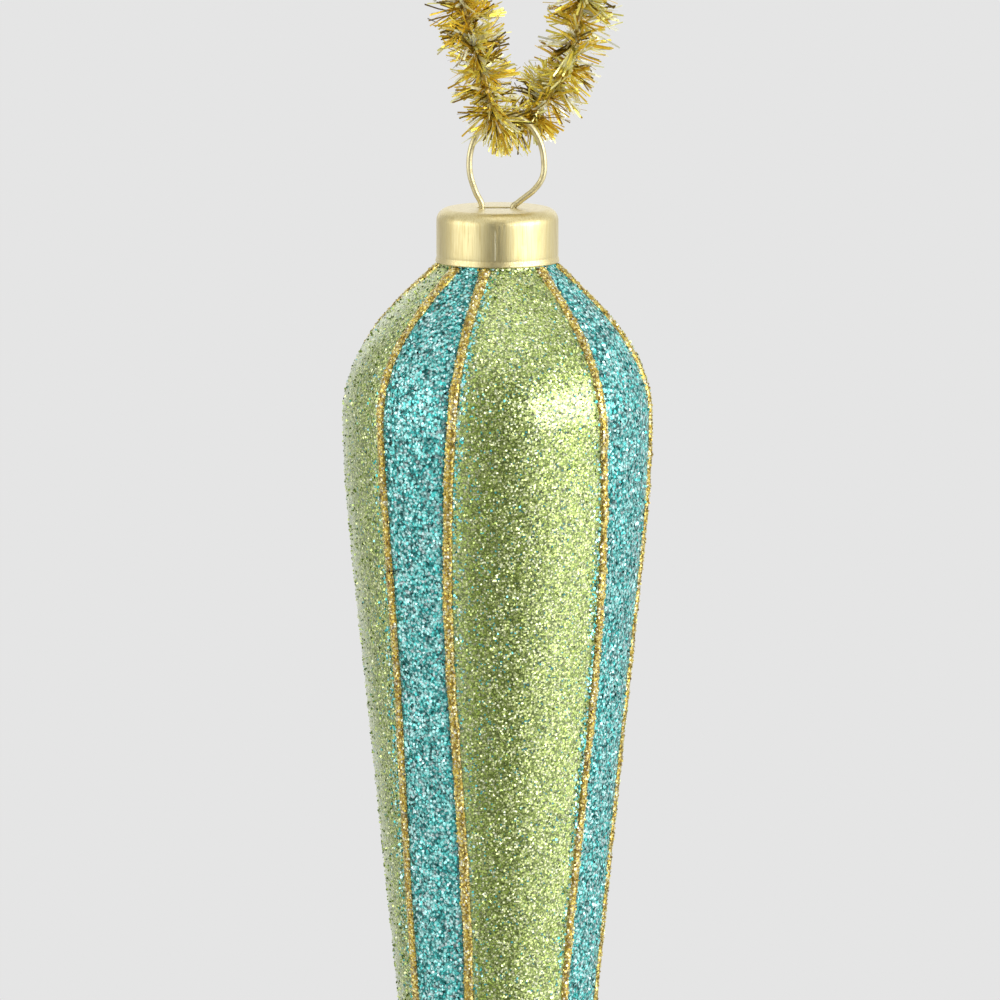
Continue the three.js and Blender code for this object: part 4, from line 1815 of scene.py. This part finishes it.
    def _in_ring_path(self, point: Vector) -> bool:
        """Tells whether the hanger's ring passes a point as it swings about the tinsel.

        Args:
            point: The point in millimetres.

        Returns:
            True near the ring's plane, outside what stays open in the ring and inside what its
            outer side reaches.
        """
        wire, gap = self.ring_wire, self.rest_gap + 0.15
        if abs(point.y) > wire + gap:
            return False
        x, z = point.x - self.contact[0], point.z - self.contact[2]
        reach = math.hypot(x, z)
        swing = math.radians(self.ring_swing)
        from_below = min(math.atan2(abs(x), -z) + swing, math.pi / 2)
        if z < 0 and reach < 2 * (self.ring_half_width - wire) * math.cos(from_below) - gap:
            return False
        outer = self.ring_half_width + wire + gap
        centre = self.ring_half_width - self.core_radius - self.rest_gap - wire
        from_above = min(math.atan2(abs(x), z) + swing, math.pi)
        across = centre * math.sin(from_above)
        side = -centre * math.cos(from_above) + math.sqrt(outer**2 - across**2)
        return reach < max(side, 0)


# The studio


@dataclass(frozen=True)
class Flat:
    """A flat lamp or card that faces the shoulder of the drop."""

    name: str
    azimuth: float  # degrees from the front towards +X
    elevation: float  # degrees over the horizontal
    distance: float  # metres from the drop
    size: tuple[float, float]  # width and height in metres
    level: float  # how bright its face looks, where 1 is white
    hot: float = 0  # how much brighter its middle is

    def place(self) -> Matrix:
        """Finds its place and turn.

        Returns:
            The matrix of something that looks at the shoulder.
        """
        a, e = math.radians(self.azimuth), math.radians(self.elevation)
        way = Vector((math.sin(a) * math.cos(e), -math.cos(a) * math.cos(e), math.sin(e)))
        target = Vector((0, 0, RIM_Z * MM))
        turn = way.to_track_quat("Z", "Y").to_matrix().to_4x4()
        return Matrix.Translation(target + way * self.distance) @ turn


@dataclass
class Studio:
    """The camera, the lights, the pale world and the floor."""

    pixel: float = 0.1623  # millimetres of the object to one pixel of the photograph
    width: int = 1000
    axis_pixel: float = 497.4
    middle_z: float = -136.65
    elevation: float = 7.3
    distance: float = 4000
    backdrop: float = 0.7835
    fill: float = 0.57
    hot_shares: tuple[float, ...] = (0.9, 0.7)  # of a softbox's size, for its hot middle
    hot_gap: float = 0.004  # metres from one of its faces to the next
    lamps: tuple[Flat, ...] = (
        Flat("right_softbox", 59, 11, 0.66, (0.88, 0.34), 0.7, 4.0),
        Flat("left_softbox", -66, 9, 0.66, (0.7, 0.42), 0.9, 0.8),
        Flat("top_softbox", 24, 74, 0.8, (0.6, 0.5), 0.45, 0.3),
        Flat("back_softbox", 180, 22, 1.0, (1.4, 0.7), 0.35),
    )
    cards: tuple[Flat, ...] = (
        Flat("dark_card", 0, -6, 0.22, (0.18, 0.42), 0.14),
        Flat("left_flag", -120, 4, 0.8, (0.6, 0.9), 0.5),
        Flat("right_glow", 66, -21, 0.64, (0.54, 0.22), 1.7),
    )
    floor_radius: float = 0.9
    floor_gap: float = 0.036  # under the point, which comes down when the glass is pulled off

    def place_camera(self) -> None:
        """Places the camera at the photograph's viewing angle."""
        data = bpy.data.cameras.new("camera")
        data.sensor_width = 36
        data.lens = data.sensor_width * self.distance / (self.pixel * self.width)
        camera = placed("camera", data)
        tilt = math.radians(self.elevation)
        target = Vector(((self.width / 2 - self.axis_pixel) * self.pixel, 0, self.middle_z))
        away = Vector((0, -math.cos(tilt), math.sin(tilt)))
        camera.location = (target + away * self.distance) * MM
        camera.rotation_euler = (math.pi / 2 - tilt, 0, 0)
        bpy.context.scene.camera = camera

    def light(self) -> None:
        """Places the world's light, the soft lamps and the cards round the drop."""
        self._world()
        for flat in self.lamps:
            self._lamp(flat)
            if flat.hot:
                self._middle(flat)
        for flat in self.cards:
            self._card(flat)

    def _world(self) -> None:
        """Makes the world pale to the camera and in reflections, and a little darker as a light."""
        world = bpy.data.worlds.new("pale_world")
        world.use_nodes = True
        tree = world.node_tree
        background = tree.nodes["Background"]
        rays = tree.nodes.new("ShaderNodeLightPath")
        seen = rays.outputs["Is Camera Ray"]
        for kind in ("Is Glossy Ray", "Is Transmission Ray"):
            either = tree.nodes.new("ShaderNodeMath")
            either.operation = "MAXIMUM"
            tree.links.new(seen, either.inputs[0])
            tree.links.new(rays.outputs[kind], either.inputs[1])
            seen = either.outputs[0]
        level = tree.nodes.new("ShaderNodeMapRange")
        level.inputs["To Min"].default_value = self.fill
        level.inputs["To Max"].default_value = self.backdrop
        tree.links.new(seen, level.inputs["Value"])
        tree.links.new(level.outputs[0], background.inputs["Strength"])
        background.inputs["Color"].default_value = (1, 1, 1, 1)
        bpy.context.scene.world = world

    def _middle(self, flat: Flat) -> None:
        """Places smaller lamps before a softbox, which make it brightest in its middle.

        Args:
            flat: The softbox.
        """
        for i, share in enumerate(self.hot_shares, 1):
            smaller = replace(
                flat,
                name=f"{flat.name}_{i}",
                distance=flat.distance - self.hot_gap * i,
                size=(flat.size[0] * share, flat.size[1] * share),
                level=flat.hot / len(self.hot_shares),
            )
            self._lamp(smaller)

    def _lamp(self, flat: Flat) -> None:
        """Places a soft lamp.

        Args:
            flat: The lamp.
        """
        data = bpy.data.lights.new(flat.name, "AREA")
        data.shape = "RECTANGLE"
        data.size, data.size_y = flat.size
        data.energy = flat.level * math.pi * flat.size[0] * flat.size[1]
        lamp = placed(flat.name, data)
        lamp.matrix_world = flat.place()
        lamp.visible_camera = False

    def _card(self, flat: Flat) -> None:
        """Places a card that only reflections see.

        Args:
            flat: The card.
        """
        mesh = bmesh.new()
        bmesh.ops.create_grid(mesh, x_segments=1, y_segments=1, size=0.5)
        bmesh.ops.scale(mesh, vec=(*flat.size, 1), verts=mesh.verts)
        bmesh.ops.transform(mesh, matrix=flat.place(), verts=mesh.verts)
        shader = Shader(flat.name)
        inputs = {"Color": (1, 1, 1, 1), "Strength": flat.level}
        finish = shader.finished(shader.add("ShaderNodeEmission", inputs))
        card = as_object(flat.name, mesh, finish)
        card.visible_camera = False
        card.visible_diffuse = False
        card.visible_shadow = False
        card.visible_transmission = False

    def lay_floor(self) -> None:
        """Lays a pale round floor that fades out, and that isn't seen from below."""
        mesh = bmesh.new()
        bmesh.ops.create_circle(mesh, cap_ends=True, segments=96, radius=self.floor_radius)
        low = CAD_BOX[0][2] - self.floor_gap
        bmesh.ops.translate(mesh, vec=(0, 0, low), verts=mesh.verts)
        for face in mesh.faces:
            if face.normal.z < 0:
                face.normal_flip()
        shader = Shader("pale_floor")
        at = shader.add("ShaderNodeTexCoord").outputs["Object"]
        far = shader.length(shader.vector("MULTIPLY", at, (1, 1, 0)))
        grain = shader.add("ShaderNodeTexNoise", {"Vector": at, "Scale": 60.0}).outputs[0]
        tone = shader.mix(grain, (0.78, 0.78, 0.78), (0.81, 0.81, 0.81))
        pale = shader.add("ShaderNodeBsdfDiffuse", {"Color": tone}).outputs[0]
        clear = shader.add("ShaderNodeBsdfTransparent").outputs[0]
        behind = shader.add("ShaderNodeNewGeometry").outputs["Backfacing"]
        hidden = shader.math("MAXIMUM", behind, shader.remap(far, 0.3, 0.88, 0.0, 1.0))
        both = shader.add("ShaderNodeMixShader", {0: hidden, 1: pale, 2: clear})
        as_object("floor", mesh, shader.finished(both))


def main() -> None:
    """Builds the scene in order and reports each piece."""
    logging.basicConfig(level=logging.INFO, format="%(message)s")
    bpy.context.scene.view_settings.view_transform = "Standard"
    studio = Studio()
    studio.place_camera()
    TinselLoop().build()
    HangerRing().build()
    DrawnCap().build()
    GlassDrop().build()
    studio.light()
    studio.lay_floor()


if __name__ == "__main__":
    main()
